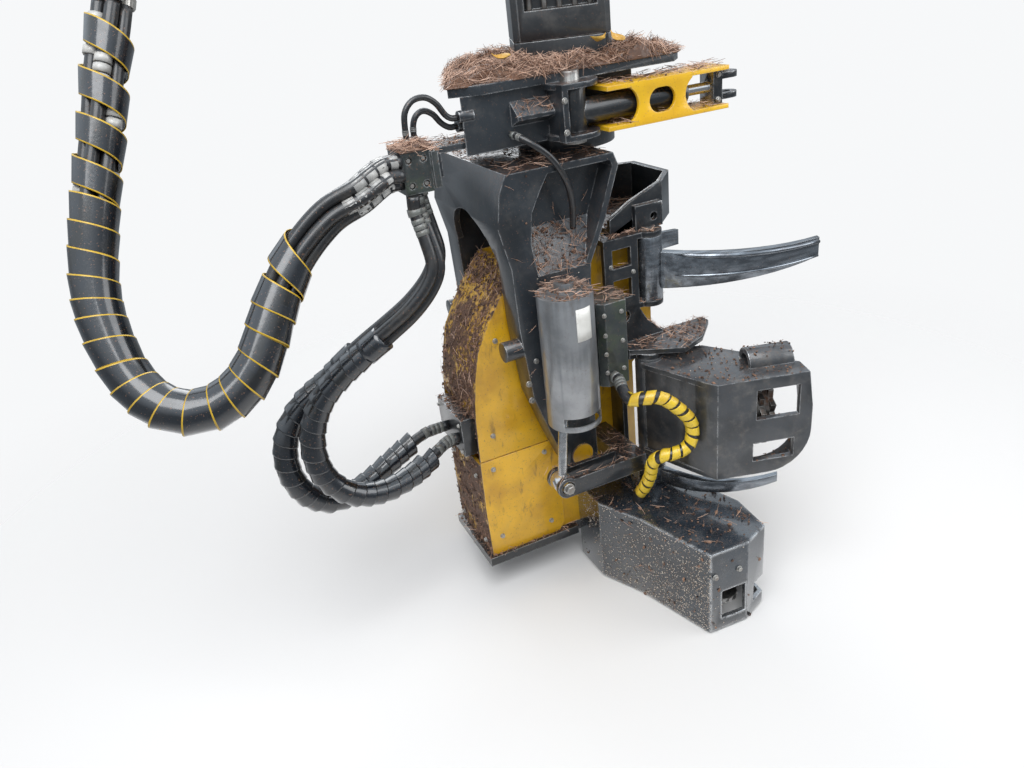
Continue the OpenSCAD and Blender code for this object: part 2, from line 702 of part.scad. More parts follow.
module tilt_lug() color([0.15, 0.15, 0.16]) at_plate() {
    for (s = [-1, 1]) {
        y0 = cyl_y + s * (eye_w / 2 + cheek_gap + lug_t / 2) - lug_t / 2;
        difference() {
            union() {
                y_rod(lug_pin[0], lug_pin[1], 56, y0, y0 + lug_t);
                box([lug_pin[0], y0, lug_pin[1] - 28], [0, y0 + lug_t, lug_pin[1] + 20]);
            }
            y_rod(lug_pin[0], lug_pin[1], anchor_d, y0 - 1, y0 + lug_t + 1);
        }
    }
    box([-60, cyl_y - 33, lug_pin[1] - 28], [0, -frame_out, lug_pin[1] + 20]);
}

// Saw box, motor and hose socket

saw_inner = [[-90, -240], [-38, -352], [18, -552], [112, -560], [184, -535], [197, -423],
    [171, -345], [132, -310]];
module saw_box() color([0.13, 0.14, 0.16]) at_plate() difference() {
    plan_plate(concat(saw_plan, [[142, -frame_out], [-107, -frame_out]]), saw_low, saw_top);
    plan_plate(concat(saw_inner, [[132, -frame_out + 1], [-90, -frame_out + 1]]),
        saw_low - 1, saw_top - saw_wall);
    // slot that the bar comes out through, on the side of the stem
    box([150, -700, saw_slot[0]], [400, -100, saw_slot[1]]);
    box([100, -frame_out - 240, saw_slot[0]], [400, -100, saw_slot[1]]);
    box([44, -600, saw_window[0]], [112, -540, saw_window[1]]);
}

module saw_plate() color([0.15, 0.15, 0.16]) at_plate() difference() {
    box([-120, -frame_out, cover_low - 26], [60, frame_out, cover_low + 6]);
    z_rod(bar_pivot[0], bar_pivot[1], 60 + 2 * fit, cover_low - 40, cover_low + 10);
}

module hose_socket() color([0.2, 0.2, 0.2]) at_plate() {
    box([-414, -90, -912], [-375, 80, -804]);
    box([-376, -frame_in, -905], [-330, frame_in, -805]);
}

module hose_loop() color([0.1, 0.1, 0.1]) at_plate()
    for (r = loop_routes) tube(r, loop_hose_d, 10);
module saw_hose() color("gold") at_plate() tube(saw_route, saw_hose_d, 8);

module measuring_wheel() color("silver") at_plate() translate([wheel_at[0], 0, wheel_at[1]])
    rotate([90, 0, 0]) difference() {
        linear_extrude(20, center = true) polygon([for (i = [0 : 47])
            (i % 2 == 0 ? 62 : 54) * [cos(7.5 * i), sin(7.5 * i)]]);
        cylinder(d = wheel_axle + 2 * fit, h = 30, center = true);
    }

// Knives

function blade_curve(l, sag, n) = [for (i = [0 : n]) let (t = i / n)
    [l * t, -sag * 4 * t * (1 - t)]];

// A knife with its long eye: the eye spans eye_z, the blade starts at z and is h high.
module knife(l, sag, z, h, t, turn, eye_z) {
    c = blade_curve(l, sag, 10);
    r = hinge_pin_d / 2 + hinge_wall;
    difference() {
        union() {
            translate([0, 0, eye_z[0]]) cylinder(r = r, h = eye_z[1] - eye_z[0]);
            translate([0, 0, z]) rotate(turn) intersection() {
                linear_extrude(h) polygon(concat(shifted(c, [0, -t / 2]),
                    [for (i = [10 : -1 : 0]) c[i] + [0, t / 2 + (10 - i) * 1.2]]));
                side_plate([[0, 0], [l, h * 0.3], [l + 5, h * 0.8], [0, h]], -200, 200);
            }
        }
        translate([0, 0, eye_z[0] - 1]) cylinder(d = hinge_pin_d, h = eye_z[1] - eye_z[0] + 2);
    }
}

module upper_knife(z, low) translate([hinge_up[0], -hinge_up[1], 0]) knife(440, 60, z,
    knife_h, knife_t, -21, [low + hinge_plate + face_gap, hinge_up_top - face_gap]);
module lower_knife(z, low) translate([hinge_low[0], -hinge_low[1], 0]) knife(330, 60, z,
    low_knife_h, knife_t, -40,
    [low + face_gap, hinge_low_z[0] - hinge_plate - face_gap]);

module upper_knife_near() color([0.2, 0.2, 0.21]) at_plate()
    upper_knife(blade_near_z, near_plate_z);
module upper_knife_far() color([0.2, 0.2, 0.21]) at_plate() mirror([0, 1, 0])
    upper_knife(blade_far_z, far_plate_z);
module lower_knife_near() color([0.2, 0.2, 0.21]) at_plate()
    lower_knife(low_blade_z[0], saw_top);
module lower_knife_far() color([0.2, 0.2, 0.21]) at_plate() mirror([0, 1, 0])
    lower_knife(low_blade_z[1], low_far_plate + hinge_plate);

// Roller arms and rollers, drawn with their hinge at the origin and the outer plate along X

drum_x = 126;
drum_y = -73;
motor_d = 110;
arm_top_plan = [[-30, -30], [86, -184], [110, -207], [338, -207], [338, -150], [150, 20],
    [20, 36]];
arm_low_plan = [[-30, -30], [86, -184], [110, -207], [226, -207], [226, -120], [150, 20],
    [20, 36]];
arm_end = concat([[110, -135]], arc([240, -25], 110, -90, 0, 8), [[350, 40], [338, 135],
    [110, 135]]);
arm_end_in = concat([[120, -122]], arc([240, -25], 97, -90, 0, 8), [[336, 40], [326, 122],
    [120, 122]]);

module roller_arm() {
    h = roller_arm_h;
    r = hinge_pin_d / 2 + hinge_wall;
    eye = [hinge_low_z[0] - roller_z + face_gap, hinge_low_z[1] - roller_z - face_gap];
    difference() {
        union() {
            translate([0, 0, -h / 2]) linear_extrude(hinge_plate) polygon(arm_low_plan);
            translate([0, 0, h / 2 - hinge_plate]) linear_extrude(hinge_plate)
                polygon(arm_top_plan);
            translate([0, 0, eye[0]]) cylinder(r = r, h = eye[1] - eye[0]);
            // outer plate with its round end and its rim
            difference() {
                side_plate(arm_end, -207, -150);
                side_plate(arm_end_in, -192, -149);
                box([208, -210, 22], [316, -180, 104]);
                box([202, -210, -96], [306, -180, -44]);
            }
            translate([0, 0, -h / 2]) linear_extrude(h)
                polygon([[-20, -30], [86, -184], [110, -207], [178, -207], [178, -195],
                    [114, -195], [96, -180], [0, -36]]);
            // plate that the roller's motor sits on
            box([drum_x - 22, -190, -h / 2], [drum_x - 8, 30, h / 2]);
            x_rod(drum_y, 0, motor_d, drum_x - 9, drum_x + 88);
        }
        translate([0, 0, eye[0] - 1]) cylinder(d = hinge_pin_d, h = eye[1] - eye[0] + 2);
    }
    // arched cap over the roller
    translate([212, -112, h / 2]) difference() {
        x_rod(0, 0, 76, 0, 112);
        x_rod(0, 0, 50, -1, 113);
        box([-1, -60, -60], [120, 60, 0]);
    }
}

module feed_roller() {
    w = drum_l / (2 * rings - 1);
    difference() {
        union() {
            x_rod(0, 0, 2 * drum_r, 0, drum_l);
            for (k = [0 : rings - 1]) translate([2 * k * w, 0, 0])
                rotate([0, 90, 0]) rotate(k * 180 / teeth) linear_extrude(w)
                    polygon([for (i = [0 : 2 * teeth - 1])
                        (drum_r + (i % 2 == 0 ? tooth_h : -1))
                        * [cos(180 * i / teeth), sin(180 * i / teeth)]]);
        }
        x_rod(0, 0, motor_d + 2 * fit, -1, 94);
    }
}

module on_arm(z = 0) translate([hinge_low[0], -hinge_low[1], roller_z + z]) rotate(-arm_turn)
    children();

module roller_arm_near() color([0.2, 0.2, 0.22]) at_plate() on_arm() roller_arm();
module roller_arm_far() color([0.2, 0.2, 0.22]) at_plate() mirror([0, 1, 0])
    on_arm() roller_arm();
module feed_roller_near() color("gray") at_plate() on_arm()
    translate([drum_x, drum_y, 0]) feed_roller();
module feed_roller_far() color("gray") at_plate() mirror([0, 1, 0]) on_arm()
    translate([drum_x, drum_y, 0]) feed_roller();

// Saw bar and chain

chain_w = 9;
module bar_outline(l, w) polygon(concat(arc([0, 0], w / 2, 180, 0, 12),
    arc([0, -l + w * 0.35], w * 0.35, 0, -180, 12)));

module at_bar(z) at_plate() translate([bar_pivot[0], bar_pivot[1], z]) rotate(bar_turn)
    children();

module saw_bar() color("silver") at_bar(bar_z - bar_t / 2) {
    linear_extrude(bar_t) bar_outline(bar_l - chain_w, bar_w);
    translate([0, 0, bar_t - eps]) cylinder(d = 60, h = cover_low - bar_z - bar_t / 2);
    translate([0, 0, bar_t - eps]) cylinder(d = bar_w - 4, h = 8);
}

module saw_chain() color("gray") at_bar(bar_z - 5) linear_extrude(10) difference() {
    bar_outline(bar_l, bar_w + 2 * chain_w);
    bar_outline(bar_l - chain_w, bar_w);
}

hanger_lug();
rotator_housing();
housing_studs();
rotator_flange();
top_bracket();
ear_pin();
neck_ring();
tilt_yoke();
tilt_guard();
tilt_anchor();
manifold_arm();
hose_manifold();
crane_hose();
crane_couplings();
jumper_hoses();
pocket_hose();
push_barrel();
push_rod();
push_guard();
tilt_barrel();
tilt_rod();
main_frame();
rear_cover_upper();
rear_cover_lower();
rear_foot();
top_hood();
cheek_near();
cheek_far();
hinge_pins();
valve_block();
tilt_lug();
saw_box();
saw_plate();
hose_socket();
hose_loop();
saw_hose();
measuring_wheel();
upper_knife_near();
upper_knife_far();
lower_knife_near();
lower_knife_far();
roller_arm_near();
roller_arm_far();
feed_roller_near();
feed_roller_far();
saw_bar();
saw_chain();
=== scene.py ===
# %% [markdown]
# # A harvester head, dressed for its portrait
# The real thing is a felling and delimbing head: a forged and welded steel tool that hangs from
# one pin. Its plates, pins and cylinders come from the CAD model, which is loaded as a fixed
# frame. This lesson gives them their paint, wear, hoses, bolts and litter.

# %% Load the frame
import bisect
import json
import math
import bmesh
import bpy
from mathutils import Matrix, Vector, noise
from mathutils.bvhtree import BVHTree

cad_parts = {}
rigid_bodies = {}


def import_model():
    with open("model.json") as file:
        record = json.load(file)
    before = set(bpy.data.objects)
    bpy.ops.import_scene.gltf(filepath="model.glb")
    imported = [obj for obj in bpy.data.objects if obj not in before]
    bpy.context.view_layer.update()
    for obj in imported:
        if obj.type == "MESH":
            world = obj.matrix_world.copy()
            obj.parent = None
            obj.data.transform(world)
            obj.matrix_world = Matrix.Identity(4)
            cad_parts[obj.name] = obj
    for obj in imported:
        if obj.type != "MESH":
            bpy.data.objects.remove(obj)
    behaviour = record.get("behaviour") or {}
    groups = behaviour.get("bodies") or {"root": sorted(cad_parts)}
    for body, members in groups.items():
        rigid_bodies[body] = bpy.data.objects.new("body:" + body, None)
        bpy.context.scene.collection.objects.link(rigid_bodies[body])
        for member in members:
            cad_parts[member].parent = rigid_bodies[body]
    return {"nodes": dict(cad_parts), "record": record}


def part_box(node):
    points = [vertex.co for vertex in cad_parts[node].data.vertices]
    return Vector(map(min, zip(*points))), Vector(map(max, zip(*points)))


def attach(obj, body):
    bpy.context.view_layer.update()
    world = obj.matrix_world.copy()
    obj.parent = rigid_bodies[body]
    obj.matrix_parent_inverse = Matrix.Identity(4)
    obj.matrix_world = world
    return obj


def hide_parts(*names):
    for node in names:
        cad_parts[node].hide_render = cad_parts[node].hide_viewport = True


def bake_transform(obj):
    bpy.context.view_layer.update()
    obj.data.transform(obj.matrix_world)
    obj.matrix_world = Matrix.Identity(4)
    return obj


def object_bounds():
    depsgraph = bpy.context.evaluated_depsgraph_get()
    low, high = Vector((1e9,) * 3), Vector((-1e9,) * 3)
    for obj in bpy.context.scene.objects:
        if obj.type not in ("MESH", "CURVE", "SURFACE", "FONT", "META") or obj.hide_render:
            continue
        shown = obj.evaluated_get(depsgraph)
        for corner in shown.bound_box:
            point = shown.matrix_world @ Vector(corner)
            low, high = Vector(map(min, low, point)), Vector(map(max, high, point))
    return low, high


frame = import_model()
cad_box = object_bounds()

# %% [markdown]
# ## Where each CAD node rides
# The record says which body every node belongs to. A piece that is laid over a node has to ride
# on the same body, so a small table saves looking it up each time.

# %% Node to body
body_of_node = {}
for body, nodes in frame["record"]["behaviour"]["bodies"].items():
    for node in nodes:
        body_of_node[node] = body
print("the yoke rides on", body_of_node["tilt_yoke"])

# %% [markdown]
# ## The camera
# The camera stands on the near side, a little above the head, and is held at a slight roll.
# Three angles and a place say all of that. Writing the camera's axes as columns of a matrix is
# exact, where aiming an empty at the head would lose the roll.

# %% Camera
TURN, LIFT, ROLL = math.radians(-22), math.radians(27), math.radians(7)
FOCAL_MM, FILM_MM, FARTHEST = 28.125, 36, 100
eye = Vector((-0.952, -1.806, -0.161))
backward = Vector((math.sin(TURN) * math.cos(LIFT), -math.cos(TURN) * math.cos(LIFT),
                   math.sin(LIFT)))
level_right = Vector((0, 0, 1)).cross(backward).normalized()
level_up = backward.cross(level_right)
right = math.cos(ROLL) * level_right - math.sin(ROLL) * level_up
up = math.sin(ROLL) * level_right + math.cos(ROLL) * level_up
lens = bpy.data.cameras.new("portrait_lens")
lens.lens, lens.sensor_width, lens.clip_end = FOCAL_MM, FILM_MM, FARTHEST
camera = bpy.data.objects.new("portrait_camera", lens)
camera.matrix_world = Matrix.Translation(eye) @ Matrix((right, up, backward)).transposed().to_4x4()
bpy.context.collection.objects.link(camera)
bpy.context.scene.camera = camera
print("camera at", [round(v, 3) for v in eye])

# %% [markdown]
# ## Nodes that read like sums
# A material's maths is a chain of small nodes. One class wraps a node's output, so that a plus
# sign adds the Math node. A second class is a plan of nodes, and adds any other kind: its settings
# first, then its inputs. Materials, the world and the geometry recipes below all use both.

# %% Wires and plans
class Wire:
    """One output of a node. Sums on it add Math nodes."""

    def __init__(self, plan, socket):
        self.plan, self.socket = plan, socket

    def maths(self, operation, *others):
        return self.plan.node("ShaderNodeMath", {"operation": operation}, [self, *others])

    def __add__(self, other):
        return self.maths("ADD", other)

    def __sub__(self, other):
        return self.maths("SUBTRACT", other)

    def __rsub__(self, other):
        return self.plan.node("ShaderNodeMath", {"operation": "SUBTRACT"}, [other, self])

    def __mul__(self, other):
        return self.maths("MULTIPLY", other)

    def __gt__(self, other):
        return self.maths("GREATER_THAN", other)

    def __lt__(self, other):
        return self.maths("LESS_THAN", other)

    __radd__, __rmul__ = __add__, __mul__

    def ramp(self, low, high):
        """0 below low, 1 above high, with a soft slope between them."""
        return self.plan.node("ShaderNodeMapRange", {"interpolation_type": "SMOOTHSTEP"},
                              {"Value": self, "From Min": low, "From Max": high})


class NodePlan:
    """A node tree under construction, of a material, the world or a geometry recipe."""

    def __init__(self, tree):
        self.tree = tree

    def feed(self, socket, value):
        """Links a wire or another node's output to a socket, or sets a plain value on it."""
        if isinstance(value, Wire):
            value = value.socket
        if isinstance(value, bpy.types.NodeSocket):
            self.tree.links.new(value, socket)
        elif socket.type == "RGBA" and hasattr(value, "__len__") and len(value) == 3:
            socket.default_value = (*value, 1)
        else:
            socket.default_value = value

    def node(self, kind, settings, inputs, out=0):
        """Adds a node, feeds its inputs by name or number and returns one of its outputs."""
        made = self.tree.nodes.new(kind)
        for name, value in settings.items():
            setattr(made, name, value)
        pairs = inputs.items() if isinstance(inputs, dict) else enumerate(inputs)
        for key, value in pairs:
            self.feed(made.inputs[key], value)
        return Wire(self, made.outputs[out])


print("wires and plans are ready")

# %% [markdown]
# ## What every finish can do
# A finish is a plan around one Principled shader. It reads the place and the facing of each point
# on the piece, and it has the few patterns that all recipes share: noise, streaks, single specks
# and a mask of the edges. A finished material is filed under its name.

# %% Finishes
finishes = {}


class Finish(NodePlan):
    """A material under construction: one Principled shader and the nodes that feed it."""

    def __init__(self, name):
        self.name, self.material = name, bpy.data.materials.new(name)
        self.material.use_nodes = True
        super().__init__(self.material.node_tree)
        self.shader = self.tree.nodes["Principled BSDF"]
        coordinates = self.tree.nodes.new("ShaderNodeTexCoord")
        self.place = Wire(self, coordinates.outputs["Object"])
        self.facing = Wire(self, coordinates.outputs["Normal"])

    def noise(self, scale, detail=3, roughness=0.55, place=None):
        return self.node("ShaderNodeTexNoise", {}, {
            "Vector": place or self.place, "Scale": scale, "Detail": detail,
            "Roughness": roughness}, "Fac")

    def specks(self, scale, least):
        """1 on single small crumbs, which lie where a fine noise is over least."""
        return self.noise(scale, 1, 0.5) > least

    def stretched(self, along, factor):
        """Coordinates drawn out along one axis, for streaks and brush marks."""
        scale = [1, 1, 1]
        scale["XYZ".index(along)] = factor
        return self.node("ShaderNodeMapping", {}, {"Vector": self.place, "Scale": scale})

    def colours(self, factor, first, second):
        return self.node("ShaderNodeMix", {"data_type": "RGBA"}, {0: factor, 6: first, 7: second},
                         2)

    def axis(self, vector, name):
        return self.node("ShaderNodeSeparateXYZ", {}, [vector], name)

    def edges(self, width):
        """1 on sharp edges, 0 on flats: the normal of a rounded copy against the real one."""
        rounded = self.node("ShaderNodeBevel", {"samples": 4}, {"Radius": width})
        real = self.node("ShaderNodeNewGeometry", {}, [], "Normal")
        same = self.node("ShaderNodeVectorMath", {"operation": "DOT_PRODUCT"}, [rounded, real],
                         "Value")
        return (1 - same).ramp(0.005, 0.07)

    def bump(self, height, strength, distance):
        return self.node("ShaderNodeBump", {}, {"Height": height, "Strength": strength,
                                                "Distance": distance})

    def done(self, **inputs):
        """Feeds the shader's sockets, named with _ for a space, and files the material."""
        for name, value in inputs.items():
            self.feed(self.shader.inputs[name.replace("_", " ")], value)
        finishes[self.name] = self.material


print("finishes can be made")

# %% [markdown]
# ## Paint that has seen hard work
# Every painted part has the same story: a coat of paint, dust and bark crumbs that settle on what
# faces up, mud on the rear, and bright edges, partly steel where the paint rubs off and partly
# a painted highlight. So one recipe makes them all, and only its colours and amounts differ. Each
# layer is a mask from 0 to 1, laid over what is below.

# %% Painted steel
BARK = (0.190, 0.100, 0.062)
CAKED = (0.050, 0.024, 0.014)
DUST = (0.200, 0.185, 0.165)
MOSS = (0.07, 0.10, 0.04)
SCUFFED = (0.10, 0.055, 0.02)
# Steel at the edges, bright where the paint rubs off and also as a painted highlight
WORN_STEEL_AND_HIGHLIGHT = (0.52, 0.53, 0.54)
# The heights between which the caking of the rear thins out
CAKED_Z = (-1.12, -0.84)


def painted(name, colour, shade, litter=0.5, dust=0.3, wear_and_highlight=0.6, gloss=0.34, green=0.0,
            rear=0.0, scuffs=0.0, metal=0.0, edge=0.004, wet=0.45):
    """Worn paint in patches of a colour and a shade. litter is how much bark lies on top, dust
    the film, wear_and_highlight the bright edges, which are partly steel where the paint rubs off
    and partly a painted highlight, gloss the roughness of clean paint, green the moss, rear the
    caking on what faces back, edge the reach of the bright edges in metres, and wet the clear film
    of water that is on all but the litter."""
    f = Finish(name)
    coat = f.colours(f.noise(9, 4).ramp(0.35, 0.7), colour, shade)
    film = f.noise(26, 5, 0.65).ramp(0.45, 0.80) * dust
    coat = f.colours(film, coat, DUST)
    if green:
        coat = f.colours(f.noise(14, 5, 0.7).ramp(0.50, 0.70) * green, coat, MOSS)
    if scuffs:
        drawn = f.noise(34, 4, 0.7, f.stretched("Z", 0.25)).ramp(0.58, 0.74) * scuffs
        coat = f.colours(drawn, coat, SCUFFED)
    up_facing = f.axis(f.facing, "Z").ramp(0.25, 0.8)
    crumbs = f.noise(190, 2, 0.6).ramp(0.60 - 0.16 * litter, 0.66 - 0.10 * litter)
    coarse = f.noise(55, 3, 0.7).ramp(0.42, 0.60)
    specks = f.specks(240, 0.70) * 0.55 * litter
    lying = (crumbs * (0.35 + 0.65 * coarse) * up_facing * litter).maths("MAXIMUM", specks)
    coat = f.colours(lying, coat, BARK)
    if rear:
        behind = (0 - f.axis(f.facing, "X")).ramp(0.1, 0.6)
        broad = f.noise(11, 3, 0.6) + (1 - f.axis(f.place, "Z").ramp(*CAKED_Z)) * 0.20
        fine = f.noise(70, 5, 0.8, f.stretched("Z", 0.5))
        caked = (broad * 0.45 + fine * 0.55).ramp(0.480, 0.555) * behind * rear
        mixed = f.colours(f.noise(210, 3, 0.8).ramp(0.4, 0.62), CAKED, BARK)
        coat = f.colours(caked, coat, mixed)
        lying = lying.maths("MAXIMUM", caked)
    # The bright edges are partly steel where the paint rubs off and partly a painted highlight.
    worn_and_highlit = (f.edges(edge) * f.noise(40, 4, 0.7).ramp(0.38, 0.58) * wear_and_highlight).maths("MINIMUM", 1)
    coat = f.colours(worn_and_highlit, coat, WORN_STEEL_AND_HIGHLIGHT)
    rough = gloss + film * 0.25 + lying * 0.45 - worn_and_highlit * 0.06
    height = f.noise(420, 2) * 0.25 + lying * 1.2 + f.noise(60, 3) * 0.5
    f.done(Base_Color=coat, Roughness=rough, Metallic=metal + worn_and_highlit * (0.8 - metal),
           Coat_Weight=(1 - lying) * wet, Coat_Roughness=0.10,
           Normal=f.bump(height, 0.35, 0.0012))


painted("grey_casting", (0.034, 0.037, 0.041), (0.015, 0.017, 0.020), litter=0.5, dust=0.22,
        wear_and_highlight=0.8, gloss=0.36)
painted("grey_paint", (0.025, 0.031, 0.038), (0.012, 0.015, 0.019), litter=0.7, dust=0.16,
        wear_and_highlight=0.9, gloss=0.30)
painted("black_paint", (0.013, 0.016, 0.020), (0.006, 0.008, 0.010), litter=0.6, dust=0.15,
        wear_and_highlight=0.9, gloss=0.28)
# The saw box's edges get a wide, strong bright band: partly steel where the paint rubs off, partly
# a painted highlight on its rounded edges.
painted("blue_black_paint", (0.024, 0.034, 0.046), (0.010, 0.014, 0.020), litter=0.25, dust=0.20,
        wear_and_highlight=2.6, gloss=0.24, edge=0.012, wet=1.0)
painted("yellow_paint", (0.80, 0.45, 0.014), (0.58, 0.30, 0.008), litter=0.9, dust=0.12, wear_and_highlight=0.3,
        gloss=0.36, rear=1.0, scuffs=0.75)
painted("bright_yellow", (0.86, 0.52, 0.012), (0.76, 0.42, 0.008), litter=0.6, dust=0.06,
        wear_and_highlight=0.3, gloss=0.32, scuffs=0.15)
painted("guard_paint", (0.36, 0.37, 0.385), (0.20, 0.21, 0.22), litter=0.5, dust=0.2, wear_and_highlight=0.5,
        gloss=0.30, scuffs=0.35, metal=0.6)
painted("worn_arm", (0.056, 0.061, 0.068), (0.024, 0.027, 0.031), litter=0.4, dust=0.45, wear_and_highlight=0.9,
        gloss=0.34, scuffs=0.2)
painted("block_steel", (0.040, 0.048, 0.050), (0.020, 0.026, 0.026), litter=0.7, dust=0.25,
        wear_and_highlight=0.8, gloss=0.36, green=0.35)
print("painted finishes:", ", ".join(finishes))

# %% [markdown]
# ## Bare steel
# Pins, knives, rollers and the chain are bare. Forged knives are dark and smooth with long
# streaks that their work has drawn, rollers are rusty between bright teeth, and rods are chromed.
# Streaks are noise on coordinates that are squeezed along one axis.

# %% Bare metals
RUST = (0.16, 0.065, 0.028)
RUBBED = (0.55, 0.54, 0.52)


def bare(name, colour, shade, rust, rough, streak_axis="X"):
    """Bare steel with streaks along one axis, some rust, and brighter edges."""
    f = Finish(name)
    streaks = f.noise(70, 4, 0.6, f.stretched(streak_axis, 0.08)).ramp(0.35, 0.65)
    metal = f.colours(streaks, colour, shade)
    rusty = f.noise(34, 5, 0.7).ramp(0.48, 0.66) * rust
    metal = f.colours(rusty, metal, RUST)
    metal = f.colours(f.edges(0.003) * 0.5, metal, RUBBED)
    specks = f.specks(230, 0.72) * 0.5
    metal = f.colours(specks, metal, BARK)
    f.done(Base_Color=metal, Roughness=rough + rusty * 0.4 + specks * 0.3,
           Metallic=0.9 - rusty * 0.7 - specks * 0.8,
           Normal=f.bump(f.noise(160, 3) * 0.6 + rusty * 0.5, 0.25, 0.001))


bare("bright_steel", (0.40, 0.39, 0.37), (0.24, 0.23, 0.22), rust=0.35, rough=0.36)
bare("knife_steel", (0.30, 0.325, 0.355), (0.15, 0.163, 0.180), rust=0.05, rough=0.22)
bare("roller_steel", (0.17, 0.16, 0.15), (0.09, 0.08, 0.07), rust=0.7, rough=0.45)
bare("bar_steel", (0.34, 0.34, 0.33), (0.2, 0.2, 0.2), rust=0.2, rough=0.34, streak_axis="Y")
bare("rod_chrome", (0.62, 0.62, 0.62), (0.5, 0.5, 0.5), rust=0.06, rough=0.14)
bare("zinc_steel", (0.46, 0.45, 0.42), (0.30, 0.29, 0.27), rust=0.3, rough=0.38)
print("finishes with the bare metals:", len(finishes))

# %% [markdown]
# ## Hoses in their spiral wraps
# The thick lines are bundles of pressure hoses inside a plastic band that is wound round them in
# a spiral. A material can follow such a spiral if the mesh carries a UV map with the turn round
# the hose as U and the way along it, in metres, as V.

# %% Wrapped hose finishes
DRY_DIRT = (0.10, 0.085, 0.065)


def wrapped(name, band, line, pitch, share, rough, dirt=0.4, wet=0.4):
    """A spiral band with a line of another colour, share of the pitch wide."""
    f = Finish(name)
    uv = f.node("ShaderNodeUVMap", {"uv_map": "wrap"}, [])
    on_line = (f.axis(uv, "Y") * (1 / pitch) - f.axis(uv, "X")).maths("FRACT") < share
    colour = f.colours(on_line, band, line)
    dusty = f.noise(30, 5, 0.65).ramp(0.45, 0.7) * dirt
    colour = f.colours(dusty * 0.45, colour, DRY_DIRT)
    specks = f.specks(210, 0.69) * 0.5
    colour = f.colours(specks, colour, BARK)
    f.done(Base_Color=colour, Roughness=rough + dusty * 0.3 + specks * 0.2,
           Coat_Weight=(1 - dusty) * wet, Coat_Roughness=0.12,
           Normal=f.bump(f.noise(120, 3) + on_line * 1.5, 0.25, 0.001))


wrapped("hose_rubber", (0.014, 0.015, 0.017), (0.010, 0.010, 0.011), 0.05, 0.1, rough=0.34)
wrapped("wrap_band", (0.010, 0.013, 0.018), (0.008, 0.009, 0.010), 0.05, 0.1, rough=0.20,
        dirt=0.25, wet=1.0)
wrapped("yellow_line", (0.62, 0.40, 0.02), (0.50, 0.32, 0.02), 0.02, 0.2, rough=0.4, dirt=0.3)
wrapped("yellow_sleeve", (0.80, 0.56, 0.03), (0.70, 0.46, 0.03), 0.030, 0.30, rough=0.38,
        dirt=0.3)
painted("pale_sleeve", (0.62, 0.62, 0.60), (0.26, 0.265, 0.26), litter=0.4, dust=0.35, wear_and_highlight=0.5,
        gloss=0.42)
painted("grey_sleeve", (0.15, 0.16, 0.15), (0.07, 0.075, 0.07), litter=0.5, dust=0.5, wear_and_highlight=0.5,
        gloss=0.5)
print("finishes with the hoses' own:", len(finishes))

# %% [markdown]
# ## From a mesh to a piece
# Every piece is a mesh at the origin, with its finishes as material slots. Two short functions
# take up what all pieces have in common.

# %% Pieces
def piece_of(name, mesh, *finish_names):
    """An object in the scene with the named finishes as its materials."""
    for finish in finish_names:
        mesh.materials.append(finishes[finish])
    piece = bpy.data.objects.new(name, mesh)
    bpy.context.collection.objects.link(piece)
    return piece


def mesh_of(name, shape):
    """Turns an edited mesh into a plain one and lets go of it."""
    mesh = bpy.data.meshes.new(name)
    shape.to_mesh(mesh)
    shape.free()
    return mesh


print("pieces can be made")

# %% [markdown]
# ## Courses
# Hoses, bands and strands all follow a smooth line. A course is such a line with its length and
# with two directions square to it at every place. They are carried on from one place to the next,
# so that nothing twists.

# %% Smooth lines
# The top plate lies this many millimetres below the hanger's bore.
PLATE_DROP = 360


def from_plate(points):
    """Points in millimetres from the top plate, as points in metres from the hanger's bore."""
    return [Vector((x, y, z - PLATE_DROP)) / 1000 for x, y, z in points]


class Course:
    """A Catmull-Rom line through points, with ways along it and directions square to it."""

    def __init__(self, points, step):
        ends = [2 * points[0] - points[1]] + points + [2 * points[-1] - points[-2]]
        self.line = [points[0].copy()]
        for a, b, c, d in zip(ends, ends[1:], ends[2:], ends[3:]):
            cuts = max(1, round((c - b).length / step))
            for i in range(1, cuts + 1):
                t = i / cuts
                self.line.append(0.5 * (2 * b + (c - a) * t + (2 * a - 5 * b + 4 * c - d) * t * t
                                        + (3 * b - a - 3 * c + d) * t ** 3))
        self.ways, self.alongs, self.sides = [0.0], [], []
        for a, b in zip(self.line, self.line[1:]):
            self.ways.append(self.ways[-1] + (b - a).length)
        side, last = Vector((0, 1, 0.1)), len(self.line) - 1
        for i in range(last + 1):
            along = (self.line[min(i + 1, last)] - self.line[max(i - 1, 0)]).normalized()
            side = (side - side.dot(along) * along).normalized()
            self.alongs.append(along)
            self.sides.append(side)
        self.length = self.ways[-1]

    def at(self, way):
        """The centre and the two square directions at a way along the line."""
        way = min(max(way, 0.0), self.length)
        i = min(max(bisect.bisect_right(self.ways, way) - 1, 0), len(self.line) - 2)
        t = (way - self.ways[i]) / (self.ways[i + 1] - self.ways[i])
        along = self.alongs[i].lerp(self.alongs[i + 1], t).normalized()
        side = self.sides[i].lerp(self.sides[i + 1], t)
        side = (side - side.dot(along) * along).normalized()
        return self.line[i].lerp(self.line[i + 1], t), side, along.cross(side)

    def beside(self, way, distance, angle):
        """A point at a distance from the line, on the side that the angle gives."""
        centre, side, other = self.at(way)
        return centre + distance * (math.cos(angle) * side + math.sin(angle) * other)


print("courses are ready")

# %% [markdown]
# ## Skins
# A skin collects what is swept along courses into one mesh: tubes, bands that are wound in a
# spiral, and crimped ends. Writing the rings of corners in code gives each face the UV that its
# spiral finish reads, which a curve with a bevel would not.

# %% What is swept along a course
BAND_STEP, BAND_THICK, BAND_EDGE = 0.0022, 0.0016, 0.003
NUT_L, NECK_L, PRESSED_PARTS = 0.016, 0.008, 3


def steps(start, end, step):
    """Even places from start to end, about a step apart."""
    count = max(1, round((end - start) / step))
    return [start + (end - start) * i / count for i in range(count + 1)]


